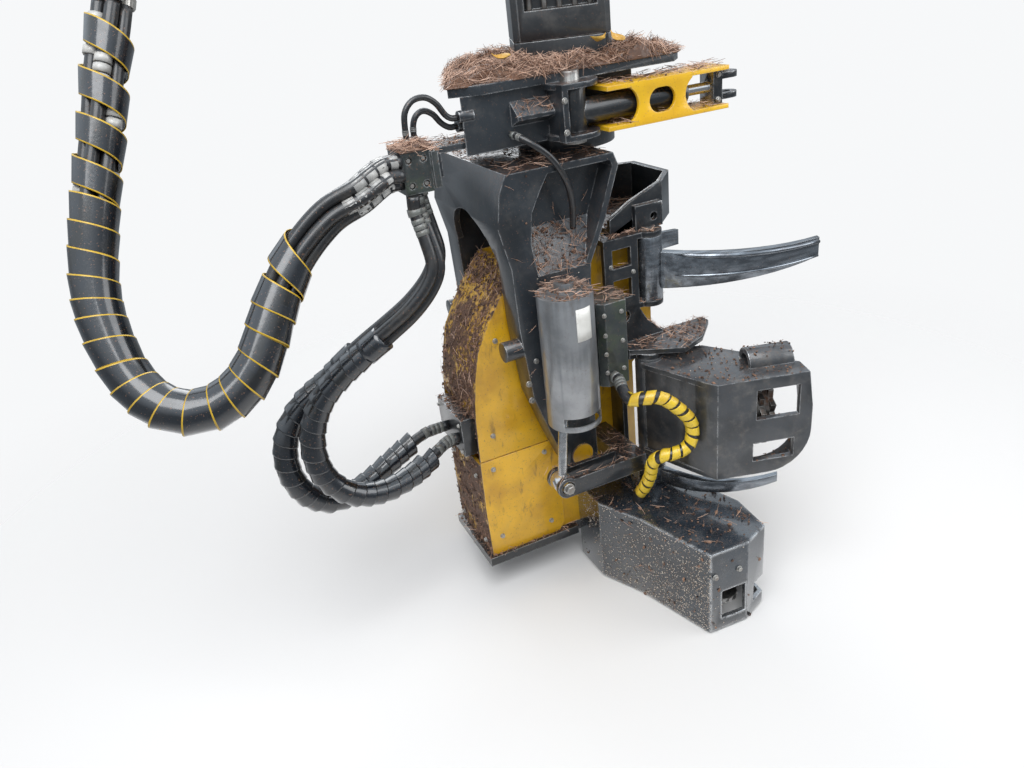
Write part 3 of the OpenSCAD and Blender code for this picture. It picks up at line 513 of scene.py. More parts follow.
class Skin:
    """Swept tubes and bands in one mesh. Their UV map holds the turn and the way in metres."""

    def __init__(self, *finish_names):
        self.finish_names = finish_names
        self.corners, self.faces, self.marks, self.slots = [], [], [], []

    def face(self, numbers, marks, finish):
        self.faces.append(numbers)
        self.marks.append(marks)
        self.slots.append(self.finish_names.index(finish))

    def tube(self, course, start, end, thickness, sides, finish, step=0.010, aside=0.0, angle=0.0,
             twist=0.0):
        """A closed tube from start to end. twist turns one that lies aside round the line."""
        ways = steps(start, end, step)
        first = len(self.corners)
        for way in ways:
            centre = course.beside(way, aside, angle + twist * way)
            middle, side, other = course.at(way)
            for k in range(sides):
                turn = 2 * math.pi * k / sides
                self.corners.append(centre + thickness / 2
                                    * (math.cos(turn) * side + math.sin(turn) * other))
        for i in range(len(ways) - 1):
            low, high = ways[i], ways[i + 1]
            for k in range(sides):
                n, a, b = (k + 1) % sides, first + i * sides, first + (i + 1) * sides
                u, v = k / sides, (k + 1) / sides
                self.face((a + k, a + n, b + n, b + k),
                          ((u, low), (v, low), (v, high), (u, high)), finish)
        for ring, order in ((0, range(sides - 1, -1, -1)), (len(ways) - 1, range(sides))):
            numbers = tuple(first + ring * sides + k for k in order)
            self.face(numbers, ((0.0, ways[ring]),) * sides, finish)

    def band(self, course, start, end, pitch, width, radius, lean, finish, edge_finish):
        """A flat band wound round the line. pitch(way) is the way from one turn to the next, and
        lean is how much higher one border of the band lies than the other."""
        ways = steps(start, end, BAND_STEP)
        across = [-width / 2, -width / 2 + BAND_EDGE, width / 2 - BAND_EDGE, width / 2]
        first, turn = len(self.corners), 0.0
        for i, way in enumerate(ways):
            turn -= 2 * math.pi * (way - ways[i - 1]) / pitch(way) if i else 0.0
            for thick in (0.0, BAND_THICK):
                for v in across:
                    high = radius + lean * (v / width + 0.5) - thick
                    self.corners.append(course.beside(way + v, high, turn))
        loop = [0, 1, 2, 3, 7, 6, 5, 4]
        for i in range(len(ways) - 1):
            a, b = first + 8 * i, first + 8 * (i + 1)
            marks = ((0.5, ways[i]), (0.5, ways[i]), (0.5, ways[i + 1]), (0.5, ways[i + 1]))
            for j in range(8):
                p, q = loop[j], loop[(j + 1) % 8]
                on_top = {p % 4, q % 4} == {1, 2}
                self.face((a + p, b + p, b + q, a + q), marks, finish if on_top else edge_finish)

    def crimped(self, course, start, thickness, length, finish, **lies):
        """A crimped hose end: a hexagon, a smooth neck and a sleeve pressed in three parts."""
        nut_end = start + NUT_L
        neck_end = nut_end + NECK_L
        part = (start + length - neck_end) / PRESSED_PARTS
        self.tube(course, start, nut_end, thickness * 1.22, 6, finish, NUT_L / 2, **lies)
        self.tube(course, nut_end, neck_end, thickness * 0.86, 12, finish, NECK_L / 2, **lies)
        for k in range(PRESSED_PARTS):
            self.tube(course, neck_end + k * part, neck_end + (k + 0.82) * part,
                      thickness * 1.10, 12, finish, part * 0.41, **lies)

    def piece(self, name):
        """The collected faces as one piece, with the skin's finishes as its materials."""
        mesh = bpy.data.meshes.new(name)
        mesh.from_pydata([tuple(c) for c in self.corners], [], self.faces)
        wrap = mesh.uv_layers.new(name="wrap")
        for face, marks, slot in zip(mesh.polygons, self.marks, self.slots):
            face.use_smooth = len(marks) == 4
            face.material_index = slot
            for loop, mark in zip(face.loop_indices, marks):
                wrap.data[loop].uv = mark
        return piece_of(name, mesh, *self.finish_names)


print("skins are ready")

# %% [markdown]
# ## The routes
# A hose is not a straight line between its ends, and no formula gives the way one hangs. So each
# route is a short list of given points, the same that the CAD solids were made from.

# %% Routes of the hoses
crane_route = from_plate([
    (-489, -196, -134), (-520, -196, -134), (-553, -206, -145), (-590, -214, -162),
    (-647, -204, -186), (-702, -204, -226), (-750, -210, -273), (-791, -222, -325),
    (-826, -238, -380), (-858, -252, -430), (-902, -258, -474), (-958, -252, -502),
    (-1016, -232, -508), (-1065, -202, -488), (-1099, -162, -442), (-1115, -124, -382),
    (-1120, -88, -320), (-1114, -60, -266), (-1100, -36, -214), (-1074, -6, -138),
    (-1044, 26, -62), (-1008, 58, 24), (-975, 92, 112), (-942, 118, 186), (-924, 136, 229)])
saw_route = from_plate([
    (-54, -262, -716), (-54, -284, -716), (-62, -318, -732), (-62, -347, -742),
    (-38, -372, -734), (-2, -388, -738), (36, -398, -772), (70, -402, -816), (78, -402, -858),
    (66, -398, -894), (34, -388, -908), (4, -372, -914), (-8, -352, -940), (-4, -332, -990),
    (-6, -306, -1042), (-10, -282, -1078), (-10, -282, -1100)])
pocket_route = from_plate([
    (-214, -158, -114), (-214, -176, -114), (-206, -196, -120), (-184, -212, -138),
    (-156, -217, -164), (-132, -217, -200), (-112, -208, -240), (-100, -196, -280),
    (-94, -184, -316), (-92, -176, -346)])
loop_routes = [from_plate(points) for points in (
    [(-470, -206, -183), (-470, -206, -220), (-462, -224, -278), (-460, -240, -334),
     (-484, -242, -378), (-528, -234, -422), (-580, -216, -462), (-628, -200, -496),
     (-692, -178, -544), (-746, -162, -598), (-780, -156, -664), (-792, -156, -738),
     (-774, -156, -812), (-720, -152, -872), (-644, -134, -900), (-560, -102, -902),
     (-490, -66, -888), (-446, -48, -876), (-414, -48, -876)],
    [(-440, -140, -183), (-440, -140, -220), (-430, -144, -280), (-426, -154, -334),
     (-450, -158, -382), (-498, -152, -430), (-556, -138, -472), (-614, -120, -512),
     (-664, -104, -550), (-718, -90, -592), (-774, -78, -630), (-822, -74, -682),
     (-848, -76, -746), (-848, -80, -816), (-820, -78, -882), (-760, -62, -928),
     (-676, -30, -930), (-594, 2, -910), (-530, 22, -890), (-480, 34, -878), (-446, 36, -876),
     (-414, 36, -876)])]
jumper_routes = [from_plate(points) for points in (
    [(-455, -165, -96), (-455, -165, -60), (-450, -165, -28), (-430, -163, -8), (-402, -160, -6),
     (-378, -156, -22), (-360, -152, -48), (-345, -150, -58), (-332, -150, -58)],
    [(-430, -140, -96), (-430, -140, -66), (-422, -140, -44), (-404, -138, -34),
     (-382, -135, -44), (-364, -132, -66), (-346, -130, -78), (-330, -130, -78)])]
print("routes:", 3 + len(loop_routes) + len(jumper_routes))

# %% [markdown]
# ## The supply bundle
# Five hoses leave the block in pale crimped ends. One loose turn of a flat plastic band holds
# them, then the band is wound tight, and near the top its turns come apart again, so that the
# hoses and their couplings show between them. The band has a thin yellow line on both edges.

# %% Sweep the supply bundle
def declare(piece, course, nodes):
    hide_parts(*nodes)
    print(piece.name, "is", round(course.length, 3), "m long")


def crane_pitch(way):
    """Loose at first, tight and a little uneven through the bend, and loose near the top."""
    if way < 0.36:
        return 0.105
    uneven = 0.009 * math.sin(way * 31.0) + 0.004 * math.sin(way * 83.0)
    return 0.047 + uneven + 0.050 * min(1.0, max(0.0, way - 1.08) / 0.30)


# Thickness, length and distance from the bundle's middle of the hoses, ends and couplings
HOSES, TWIST, BUNDLE_D = 5, 1.6, 0.092
HOSE_D, HOSE_ASIDE = 0.029, 0.0245
END_D, END_L, END_ASIDE = 0.0275, 0.105, 0.0235
COUPLING_D, COUPLING_L, COUPLING_ASIDE, COUPLING_GAP = 0.031, 0.085, 0.0255, 0.30
WRAP_FROM, BARE_TOP, WRAP_W, WRAP_R, WRAP_LEAN = 0.262, 0.030, 0.056, 0.0440, 0.0040
course = Course(crane_route, 0.010)
skin = Skin("hose_rubber", "wrap_band", "pale_sleeve", "yellow_line")
for k in range(HOSES):
    angle, stagger = 2 * math.pi * k / HOSES + 0.5, k % 3
    skin.tube(course, 0.0, course.length, HOSE_D, 10, "hose_rubber", 0.012, aside=HOSE_ASIDE,
              angle=angle, twist=TWIST)
    skin.crimped(course, 0.008 + 0.016 * stagger, END_D, END_L, "pale_sleeve", aside=END_ASIDE,
                 angle=angle, twist=TWIST)
    highest = course.length - 0.11 - 0.08 * stagger
    for way in (highest, highest - COUPLING_GAP):
        skin.crimped(course, way, COUPLING_D, COUPLING_L, "pale_sleeve", aside=COUPLING_ASIDE,
                     angle=angle, twist=TWIST)
skin.band(course, WRAP_FROM, course.length - BARE_TOP, crane_pitch, WRAP_W, WRAP_R, WRAP_LEAN,
          "wrap_band", "yellow_line")
crane_bundle = skin.piece("crane_bundle")
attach(crane_bundle, "bracket")
declare(crane_bundle, course, ["crane_hose"])

# %% [markdown]
# ## The loop between bracket and head
# Two strands hang in a loop from the block to the back of the head. Each is a pair of hoses with
# grey crimped ends, and most of its length lies in a black band. A strand has to bend when the
# head tilts, but here each one is a fixed mesh that rides on no body.

# %% Sweep the loop
BAND_ENDS, BARE_END, STRAND_D = 1.24, 0.11, 0.060
PAIR_D, PAIR_ASIDE, PAIR_TWIST = 0.028, 0.0145, 1.2


def loop_pitch(way):
    """Tight and a little uneven."""
    return 0.034 + 0.005 * math.sin(way * 41.0)


for name, points, wrap_from in (("loop_strand_near", loop_routes[0], 0.36),
                                ("loop_strand_far", loop_routes[1], 0.46)):
    course = Course(points, 0.009)
    skin = Skin("hose_rubber", "wrap_band", "grey_sleeve")
    for k in range(2):
        lies = {"aside": PAIR_ASIDE, "angle": math.pi * k + 0.6, "twist": PAIR_TWIST}
        skin.tube(course, 0.0, course.length, PAIR_D, 12, "hose_rubber", **lies)
        for way in (0.008 + 0.020 * k, course.length - 0.075):
            skin.crimped(course, way, 0.027, 0.062, "grey_sleeve", **lies)
    skin.tube(course, wrap_from - 0.004, wrap_from + 0.050, STRAND_D, 20, "wrap_band")
    skin.band(course, wrap_from + 0.04, min(BAND_ENDS, course.length - BARE_END), loop_pitch,
              0.045, 0.0255, 0.0055, "wrap_band", "wrap_band")
    strand = skin.piece(name)
    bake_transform(strand)
    declare(strand, course, ["hose_loop"])

# %% [markdown]
# ## The thin hoses
# The saw's hose lies in a yellow band with dark gaps. The hose into the yoke's pocket and the two
# short ones from the block to the bracket are bare rubber.

# %% Sweep the thin hoses
RUBBER_STEP, SAW_HOSE_D, SLEEVE_D = 0.006, 0.029, 0.036
SLEEVE_FROM, SLEEVE_W, SLEEVE_R, SLEEVE_LEAN = 0.085, 0.0205, 0.0165, 0.0012


def saw_pitch(way):
    """Wider than the band, so that dark gaps are left."""
    return 0.0290 + 0.0035 * math.sin(way * 60.0)


course = Course(saw_route, 0.005)
skin = Skin("hose_rubber", "yellow_sleeve", "grey_sleeve")
skin.tube(course, 0.0, course.length, SAW_HOSE_D, 14, "hose_rubber", RUBBER_STEP)
skin.band(course, SLEEVE_FROM, course.length - 0.030, saw_pitch, SLEEVE_W, SLEEVE_R, SLEEVE_LEAN,
          "yellow_sleeve", "yellow_sleeve")
skin.crimped(course, 0.0, 0.028, 0.050, "grey_sleeve")
saw_line = skin.piece("saw_line")
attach(saw_line, "head")
declare(saw_line, course, ["saw_hose"])

for name, points, thickness, node in (
        ("pocket_line", pocket_route, 0.015, "pocket_hose"),
        ("jumper_line_a", jumper_routes[0], 0.013, "jumper_hoses"),
        ("jumper_line_b", jumper_routes[1], 0.013, "jumper_hoses")):
    course = Course(points, 0.006)
    skin = Skin("hose_rubber", "grey_sleeve")
    skin.tube(course, 0.0, course.length, thickness, 12, "hose_rubber", RUBBER_STEP)
    skin.crimped(course, 0.0, thickness, 0.034, "grey_sleeve")
    piece = skin.piece(name)
    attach(piece, "bracket")
    declare(piece, course, [node])

# %% [markdown]
# ## Plates and castings
# A CAD node has knife-sharp edges, and real plate never has. A copy of each node is merged, its
# flat faces are joined again, and a Bevel modifier rounds the edges. The copy then stands for
# the node, which stays in the physics.

# %% Dress a CAD node
EDGE_ROUND, EDGE_SEGMENTS, EDGE_FROM_ANGLE = 0.002, 2, math.radians(24)
SAME_POINT, SAME_PLANE = 0.00005, math.radians(1.0)
slot_of_node = {part["node"]: part["material_slot"] for part in frame["record"]["subparts"]}


def dressed(node, finish):
    """A bevelled copy of a CAD node, which it replaces."""
    shape = bmesh.new()
    shape.from_mesh(frame["nodes"][node].data)
    bmesh.ops.remove_doubles(shape, verts=shape.verts, dist=SAME_POINT)
    bmesh.ops.dissolve_limit(shape, angle_limit=SAME_PLANE, verts=shape.verts,
                             edges=shape.edges)
    for face in shape.faces:
        face.smooth = True
    piece = piece_of(node + "_dressed", mesh_of(node + "_dressed", shape), finish)
    edge = piece.modifiers.new("rounded_edges", "BEVEL")
    edge.width, edge.segments, edge.limit_method = EDGE_ROUND, EDGE_SEGMENTS, "ANGLE"
    edge.angle_limit = EDGE_FROM_ANGLE
    edge.harden_normals = True
    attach(piece, body_of_node[node])
    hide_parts(node)
    return piece


soft_nodes = {"crane_hose", "hose_loop", "saw_hose", "pocket_hose", "jumper_hoses"}
plain_nodes = {"crane_couplings", "saw_chain"}
special_finish = {"push_guard": "bright_yellow", "roller_arm_near": "worn_arm",
                  "roller_arm_far": "worn_arm"}
dressings = {}
for node, source in frame["nodes"].items():
    if node in plain_nodes:
        source.data.materials.clear()
        source.data.materials.append(finishes[slot_of_node[node]])
    elif node not in soft_nodes:
        dressings[node] = dressed(node, special_finish.get(node, slot_of_node[node]))

# The rod is chromed up to its painted eye.
EYE_BEGINS_X = 0.300
rod = dressings["push_rod"].data
rod.materials.append(finishes["black_paint"])
for face in rod.polygons:
    face.material_index = int(face.center.x > EYE_BEGINS_X)
print("dressed nodes:", len(dressings))

# %% [markdown]
# ## Ribs on the knives
# A knife is forged with a thick rib along its upper edge and a thinner one below, and a groove
# between them. The CAD model's knife is a plain curved blade. Two bars are swept along the
# blade's own arc, on its outer side, and they thin out towards the tip.

# %% Forge the ribs
# Millimetres, as in the CAD source: hinge place, length, sag of the curve, thickness and turn
KNIFE_HINGE, KNIFE_L, KNIFE_SAG, KNIFE_T, KNIFE_TURN = (130, 150), 440, 60, 16, math.radians(-21)
RIB_FROM, RIB_SPAN, RIB_SECTIONS = 0.14, 0.845, 14
SUNK, SKIN_GAP = -2.0, 0.2


def rib_section(t, z, thick, tall, side):
    """The five corners of a rib's section at the share t of its way, from foot to foot."""
    x = KNIFE_L * (RIB_FROM + RIB_SPAN * t)
    way = x / KNIFE_L
    y = -KNIFE_SAG * 4 * way * (1 - way)
    slope = math.atan2(-KNIFE_SAG * 4 * (1 - 2 * way), KNIFE_L)
    out = Vector((math.sin(slope), -math.cos(slope)))
    taper = (1.0 - 0.45 * t) * min(1.0, 0.1 + 5 * t)
    corners = []
    for depth, rise in ((SUNK, -tall), (thick * 0.75, -tall * 0.8), (thick, -tall * 0.35),
                        (thick * 0.8, tall * 0.3), (SUNK, tall * 0.5)):
        place = Vector((x, y)) + out * (KNIFE_T / 2 + SKIN_GAP + depth * taper)
        turned = Matrix.Rotation(KNIFE_TURN, 2) @ place
        corners.append((KNIFE_HINGE[0] + turned.x, (KNIFE_HINGE[1] - turned.y) * side,
                        z + rise * taper))
    return from_plate(corners)


def rib(name, body, top, drop, fall, thick, tall, side):
    """A bar along a blade's outer face. drop is its way below the blade's top at the hinge, fall
    what it loses in height up to the tip, and side is -1 near and 1 far."""
    shape = bmesh.new()
    rings = []
    for i in range(RIB_SECTIONS + 1):
        t = i / RIB_SECTIONS
        section = rib_section(t, top - drop - fall * t, thick, tall, side)
        rings.append([shape.verts.new(p) for p in section])
    for a, b in zip(rings, rings[1:]):
        for k in range(5):
            n = (k + 1) % 5
            shape.faces.new((a[k], a[n], b[n], b[k])).smooth = True
    shape.faces.new(rings[0])
    shape.faces.new(rings[-1])
    bmesh.ops.recalc_face_normals(shape, faces=shape.faces)
    piece = piece_of(name, mesh_of(name, shape), "knife_steel")
    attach(piece, body)


for letter, side, blade_top in (("a", -1, -460), ("b", 1, -575)):
    rib("rib_high_" + letter, "upper_knife_" + letter, blade_top, 6, 22, 10, 12, side)
    rib("rib_low_" + letter, "upper_knife_" + letter, blade_top, 62, 4.4, 5, 7, side)

# %% [markdown]
# ## Small things by Geometry Nodes
# Bolts, chain links, needles and crumbs repeat many times. Each kind has one Geometry Nodes
# recipe with named inputs. It runs once on a holder, its result is kept as a plain mesh, and the
# modifier goes away with the holder, so that the piece is ordinary geometry afterwards.

# %% Recipes
class Recipe(NodePlan):
    """A Geometry Nodes tree under construction, with named inputs."""

    def __init__(self, name, **inputs):
        super().__init__(bpy.data.node_groups.new(name, "GeometryNodeTree"))
        face = self.tree.interface
        face.new_socket("Mesh", in_out="INPUT", socket_type="NodeSocketGeometry")
        self.ids = {}
        for label, kind in inputs.items():
            made = face.new_socket(label, in_out="INPUT", socket_type="NodeSocket" + kind)
            self.ids[label] = made.identifier
        face.new_socket("Mesh", in_out="OUTPUT", socket_type="NodeSocketGeometry")
        self.inputs = self.tree.nodes.new("NodeGroupInput").outputs
        self.result = self.tree.nodes.new("NodeGroupOutput").inputs[0]

    def given(self, label):
        """What comes in under a label."""
        return Wire(self, self.inputs[label])

    def attribute(self, name, kind="FLOAT"):
        return self.node("GeometryNodeInputNamedAttribute", {"data_type": kind}, {"Name": name})

    def chance(self, low, high, seed):
        """A number between low and high, drawn anew for each point."""
        return self.node("FunctionNodeRandomValue", {"data_type": "FLOAT"},
                         {"Min": low, "Max": high, "Seed": seed}, 1)

    def turned(self, along, axis, **settings):
        """A turn that points an axis along a vector."""
        return self.node("FunctionNodeAlignRotationToVector", {"axis": axis, **settings},
                         {"Vector": along})

    def placed(self, points, label, **how):
        """The object that comes in under a label, on every point."""
        shown = self.node("GeometryNodeObjectInfo", {}, {"Object": self.given(label)}, "Geometry")
        return self.node("GeometryNodeInstanceOnPoints", {}, {"Points": points, "Instance": shown,
                                                              **how})

    def finish(self, mesh):
        """Makes instances real and gives them the material that comes in."""
        real = self.node("GeometryNodeRealizeInstances", {}, [mesh])
        self.feed(self.result, self.node("GeometryNodeSetMaterial", {}, {
            "Geometry": real, "Material": self.given("Material")}))

    def run(self, name, mesh, **values):
        """Applies the recipe to a mesh and returns the result as a plain piece."""
        holder = bpy.data.objects.new(name + "_holder", mesh)
        bpy.context.collection.objects.link(holder)
        modifier = holder.modifiers.new("recipe", "NODES")
        modifier.node_group = self.tree
        for label, value in values.items():
            modifier[self.ids[label]] = value
        graph = bpy.context.evaluated_depsgraph_get()
        made = bpy.data.meshes.new_from_object(holder.evaluated_get(graph),
                                               preserve_all_data_layers=True, depsgraph=graph)
        bpy.data.objects.remove(holder)
        return piece_of(name, made)


print("recipes can be made")

# %% [markdown]
# ## The shapes that recipes repeat
# A shape that is set hundreds of times has to be cheap, so each is a short list of corners and
# faces. Most are turned shapes, and some are joined from two or three of them.

# %% Shapes for recipes
def shape_of(name, corners, faces):
    """An object that only serves as a recipe's instance, kept out of the scene."""
    mesh = bpy.data.meshes.new(name)
    mesh.from_pydata(corners, [], faces)
    return bpy.data.objects.new(name, mesh)


def prism(sides, levels):
    """Corners and faces of an upright lathe shape. levels is a list of (radius, height)."""
    corners = [(r * math.cos(2 * math.pi * k / sides), r * math.sin(2 * math.pi * k / sides), z)
               for r, z in levels for k in range(sides)]
    faces = [tuple(range(sides - 1, -1, -1))]
    for i in range(len(levels) - 1):
        faces += [(i * sides + k, i * sides + (k + 1) % sides, (i + 1) * sides + (k + 1) % sides,
                   (i + 1) * sides + k) for k in range(sides)]
    faces.append(tuple((len(levels) - 1) * sides + k for k in range(sides)))
    return corners, faces


def joined(*shapes):
    """Several (corners, faces) as one."""
    corners, faces = [], []
    for some_corners, some_faces in shapes:
        faces += [tuple(len(corners) + k for k in face) for face in some_faces]
        corners += some_corners
    return corners, faces


washer = prism(16, [(1.0, 0.0), (1.0, 0.22), (0.94, 0.28)])
head = prism(6, [(0.78, 0.2), (0.80, 0.26), (0.80, 0.85), (0.70, 0.95)])
bolt_shape = shape_of("bolt_shape", *joined(washer, head))
print("a bolt has", len(bolt_shape.data.polygons), "faces")

# %% [markdown]
# ## Bolts
# A mesh of single points carries two attributes, the way each bolt faces and how big it is. The
# recipe puts a bolt head on each point, turned that way.

# %% Put on the bolts
bolting = Recipe("bolting", Bolt="Object", Material="Material")
points = bolting.node("GeometryNodeMeshToPoints", {}, {"Mesh": bolting.given("Mesh")})
bolting.finish(bolting.placed(points, "Bolt", Scale=bolting.attribute("size"),
                              Rotation=bolting.turned(bolting.attribute("way_out", "FLOAT_VECTOR"),
                                                      "Z")))

NEAR, FAR, BACK, OUT, TOP = (0, -1, 0), (0, 1, 0), (-1, 0, 0), (1, 0, 0), (0, 0, 1)


def bolts(outward, radius, *places):
    """Bolts of one size that look one way, in millimetres from the top plate."""
    return [(*place, outward, radius) for place in places]


def on_side(y, *places):
    """Places on an upright plate that runs fore and aft, from their x and z."""
    return [(x, y, z) for x, z in places]


COVER_BOLTS = ((-352, -960), (-352, -1180), (-200, -1190), (-200, -960), (-340, -860), (-300, -600))
FRONT_BOLTS = ((160, 70, -440), (160, 70, -520), (160, 70, -680), (95, 60, -1060))
bolt_spots = {
    "bracket": bolts(NEAR, 8, (-261, -205, -695), (-258, -205, -741))
               + bolts(NEAR, 6, *on_side(-208, (-474, -165), (-442, -165), (-474, -114),
                                         (-442, -114)))
               + bolts(NEAR, 7, (-118, -231, -52), (-118, -231, -118), (-135, -205, -640),
                       (-235, -205, -640))
               + bolts(FAR, 8, *on_side(205, (-261, -695), (-258, -741), (-180, -560))),
    "level_rod": bolts(NEAR, 7, (309, -196, -118), (309, -196, -62))
                 + bolts(TOP, 12, (350, -170, -60)),
    "head": bolts(NEAR, 6, *on_side(-262, (-72, -548), (-72, -600), (-72, -650), (-72, -700),
                                    (-24, -548), (-24, -625), (-24, -700)))
            + bolts(NEAR, 6, *on_side(-170, (8, -471), (72, -496), (8, -640)))
            + bolts(NEAR, 7, *on_side(-115, *COVER_BOLTS))
            + bolts(FAR, 7, *on_side(115, *COVER_BOLTS))
            + bolts(OUT, 8, *((x, -y, z) for x, y, z in FRONT_BOLTS))
            + bolts(OUT, 8, *FRONT_BOLTS)
            + bolts(NEAR, 8, (21, -568, -1170), (90, -572, -1170))
            + bolts(BACK, 7, *((-388, y, z) for y in (-80, 80) for z in (-985, -1200)))
            + bolts(BACK, 6, *((-415, y, z) for y in (-78, 68) for z in (-822, -900)))
            + bolts(NEAR, 15, (-230, -310, -956)),
}


def point_mesh(spots):
    """A mesh of bare points with both attributes. It has to own both before either is filled,
    because adding the second one moves the first one's data."""
    mesh = bpy.data.meshes.new("bolt_points")
    mesh.from_pydata([tuple(from_plate([spot[:3]])[0]) for spot in spots], [], [])
    mesh.attributes.new("way_out", "FLOAT_VECTOR", "POINT")
    mesh.attributes.new("size", "FLOAT", "POINT")
    for i, (x, y, z, outward, radius) in enumerate(spots):
        mesh.attributes["way_out"].data[i].vector = outward
        mesh.attributes["size"].data[i].value = radius / 1000
    return mesh


for body, spots in bolt_spots.items():
    piece = bolting.run("bolts_" + body, point_mesh(spots), Bolt=bolt_shape,
                        Material=finishes["zinc_steel"])
    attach(piece, body)
print("bolts:", sum(len(s) for s in bolt_spots.values()))

# %% [markdown]
# ## The saw chain
# The CAD model's chain is a smooth band. Here one link with its cutting tooth is set along the
# band's outline, at even steps, facing the way the chain runs.

# %% Chain links
chaining = Recipe("chaining", Link="Object", Pitch="Float", Material="Material")
curve = chaining.node("GeometryNodeMeshToCurve", {}, {"Mesh": chaining.given("Mesh")})
evenly = chaining.node("GeometryNodeResampleCurve", {"mode": "LENGTH"}, {
    "Curve": curve, "Length": chaining.given("Pitch")})
forward = chaining.node("GeometryNodeInputTangent", {}, {})
chaining.finish(chaining.placed(evenly, "Link", Rotation=chaining.turned(forward, "X",
                                                                         pivot_axis="Z")))


def slab(x, y, z):
    """A box between the two values that each of x, y and z gives."""
    corners = [(a, b, c) for a in x for b in y for c in z]
    return corners, [(0, 1, 3, 2), (4, 6, 7, 5), (0, 4, 5, 1), (2, 3, 7, 6), (0, 2, 6, 4),
                     (1, 5, 7, 3)]


def arc(radius, middle_y, start, end, step):
    """Points on an arc about (0, middle_y), from one angle in degrees to another."""
    return [(radius * math.cos(math.radians(a)), middle_y + radius * math.sin(math.radians(a)))
            for a in range(start, end, step)]


link_shape = shape_of("link_shape", *joined(
    slab((-0.0085, 0.0085), (-0.0045, 0.0035), (-0.0062, -0.0046)),
    slab((-0.0085, 0.0085), (-0.0045, 0.0035), (0.0046, 0.0062)),
    slab((-0.0050, 0.0040), (0.0005, 0.0062), (-0.0058, 0.0058))))
BAR_L, BAR_W, CHAIN_W, LINK_PITCH = 0.500, 0.074, 0.009, 0.0155
BAR_HINGE, BAR_TURN = (-0.020, -0.060, -1.645), math.radians(13)
# The nose's radius as a share of the bar's width, and how far out in the chain a link sits
NOSE_SHARE, LINK_OUT = 0.35, CHAIN_W * 0.6
nose_y = -BAR_L + (BAR_W + 2 * CHAIN_W) * NOSE_SHARE
outline = (arc(BAR_W / 2 + LINK_OUT, 0.0, 180, -1, -15)
           + arc(BAR_W * NOSE_SHARE + LINK_OUT, nose_y, 0, -181, -15))
swing = Matrix.Translation(BAR_HINGE) @ Matrix.Rotation(BAR_TURN, 4, "Z")
mesh = bpy.data.meshes.new("chain_line")
mesh.from_pydata([tuple(swing @ Vector((x, y, 0))) for x, y in outline],
                 [(i, (i + 1) % len(outline)) for i in range(len(outline))], [])
chain = chaining.run("chain_links", mesh, Link=link_shape, Pitch=LINK_PITCH,
                     Material=finishes["bar_steel"])
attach(chain, "saw")
print("chain faces:", len(chain.data.polygons))

# %% [markdown]
# ## What the litter is made of
# Dry needles, bark crumbs, flakes and sawdust lie in drifts on all that faces up. Each piece of
# litter gets a shade of its own, which its finish reads as an attribute, so that no two needles
# side by side look alike.

# %% Shapes and finishes of the litter
def bent_needle(length, thick):
    """A needle along X with a slight bend, triangular across."""
    corners, faces = [], []
    for i, (x, y) in enumerate(((-0.5, 0.0), (0.0, 0.05), (0.5, 0.0))):
        t = thick * (1.0 if i == 1 else 0.6)
        for dy, dz in ((-t / 2, 0.0), (t / 2, 0.0), (0.0, t)):
            corners.append((x * length, y * length + dy, dz + thick * 0.3))
    faces.append((0, 1, 2))
    for i in range(2):
        faces += [(3 * i + k, 3 * i + 3 + k, 3 * i + 3 + (k + 1) % 3, 3 * i + (k + 1) % 3)
                  for k in range(3)]
    faces.append((6, 8, 7))
    return corners, faces


needle_shape = shape_of("needle_shape", *bent_needle(0.038, 0.0010))
crumb_shape = shape_of("crumb_shape", *prism(4, [(0.0029, 0.0), (0.0020, 0.0017)]))
flake_shape = shape_of("flake_shape", [
    (-0.006, -0.002, 0.0), (0.001, -0.004, 0.0004), (0.007, -0.001, 0.0), (0.004, 0.003, 0.0006),
    (-0.004, 0.003, 0.0), (-0.004, -0.001, 0.0018), (0.001, -0.002, 0.0024),
    (0.004, 0.0, 0.0017), (0.002, 0.002, 0.0022), (-0.003, 0.002, 0.0016)],
    [(4, 3, 2, 1, 0), (5, 6, 7, 8, 9), (0, 1, 6, 5), (1, 2, 7, 6), (2, 3, 8, 7), (3, 4, 9, 8),
     (4, 0, 5, 9)])
dust_shape = shape_of("dust_shape", *prism(3, [(0.0019, 0.0), (0.0012, 0.0010)]))


def shaded(name, low, high, rough):
    """A finish whose colour runs from low to high with each instance's own shade."""
    f = Finish(name)
    own = f.node("ShaderNodeAttribute", {"attribute_name": "shade"}, {}, "Fac")
    f.done(Base_Color=f.colours(own, low, high), Roughness=rough)


shaded("dry_needles", (0.070, 0.026, 0.016), (0.78, 0.53, 0.40), 0.5)
shaded("bark_crumbs", (0.030, 0.014, 0.009), (0.30, 0.170, 0.110), 0.7)
shaded("pale_sawdust", (0.20, 0.13, 0.09), (0.78, 0.70, 0.60), 0.8)
painted("leaf_yellow", (0.60, 0.38, 0.05), (0.50, 0.24, 0.03), litter=0.4, dust=0.2, wear_and_highlight=0.0,
        gloss=0.55)
painted("litter_bed", (0.115, 0.052, 0.026), (0.060, 0.028, 0.016), litter=1.0, dust=0.3,
        wear_and_highlight=0.0, gloss=0.75)
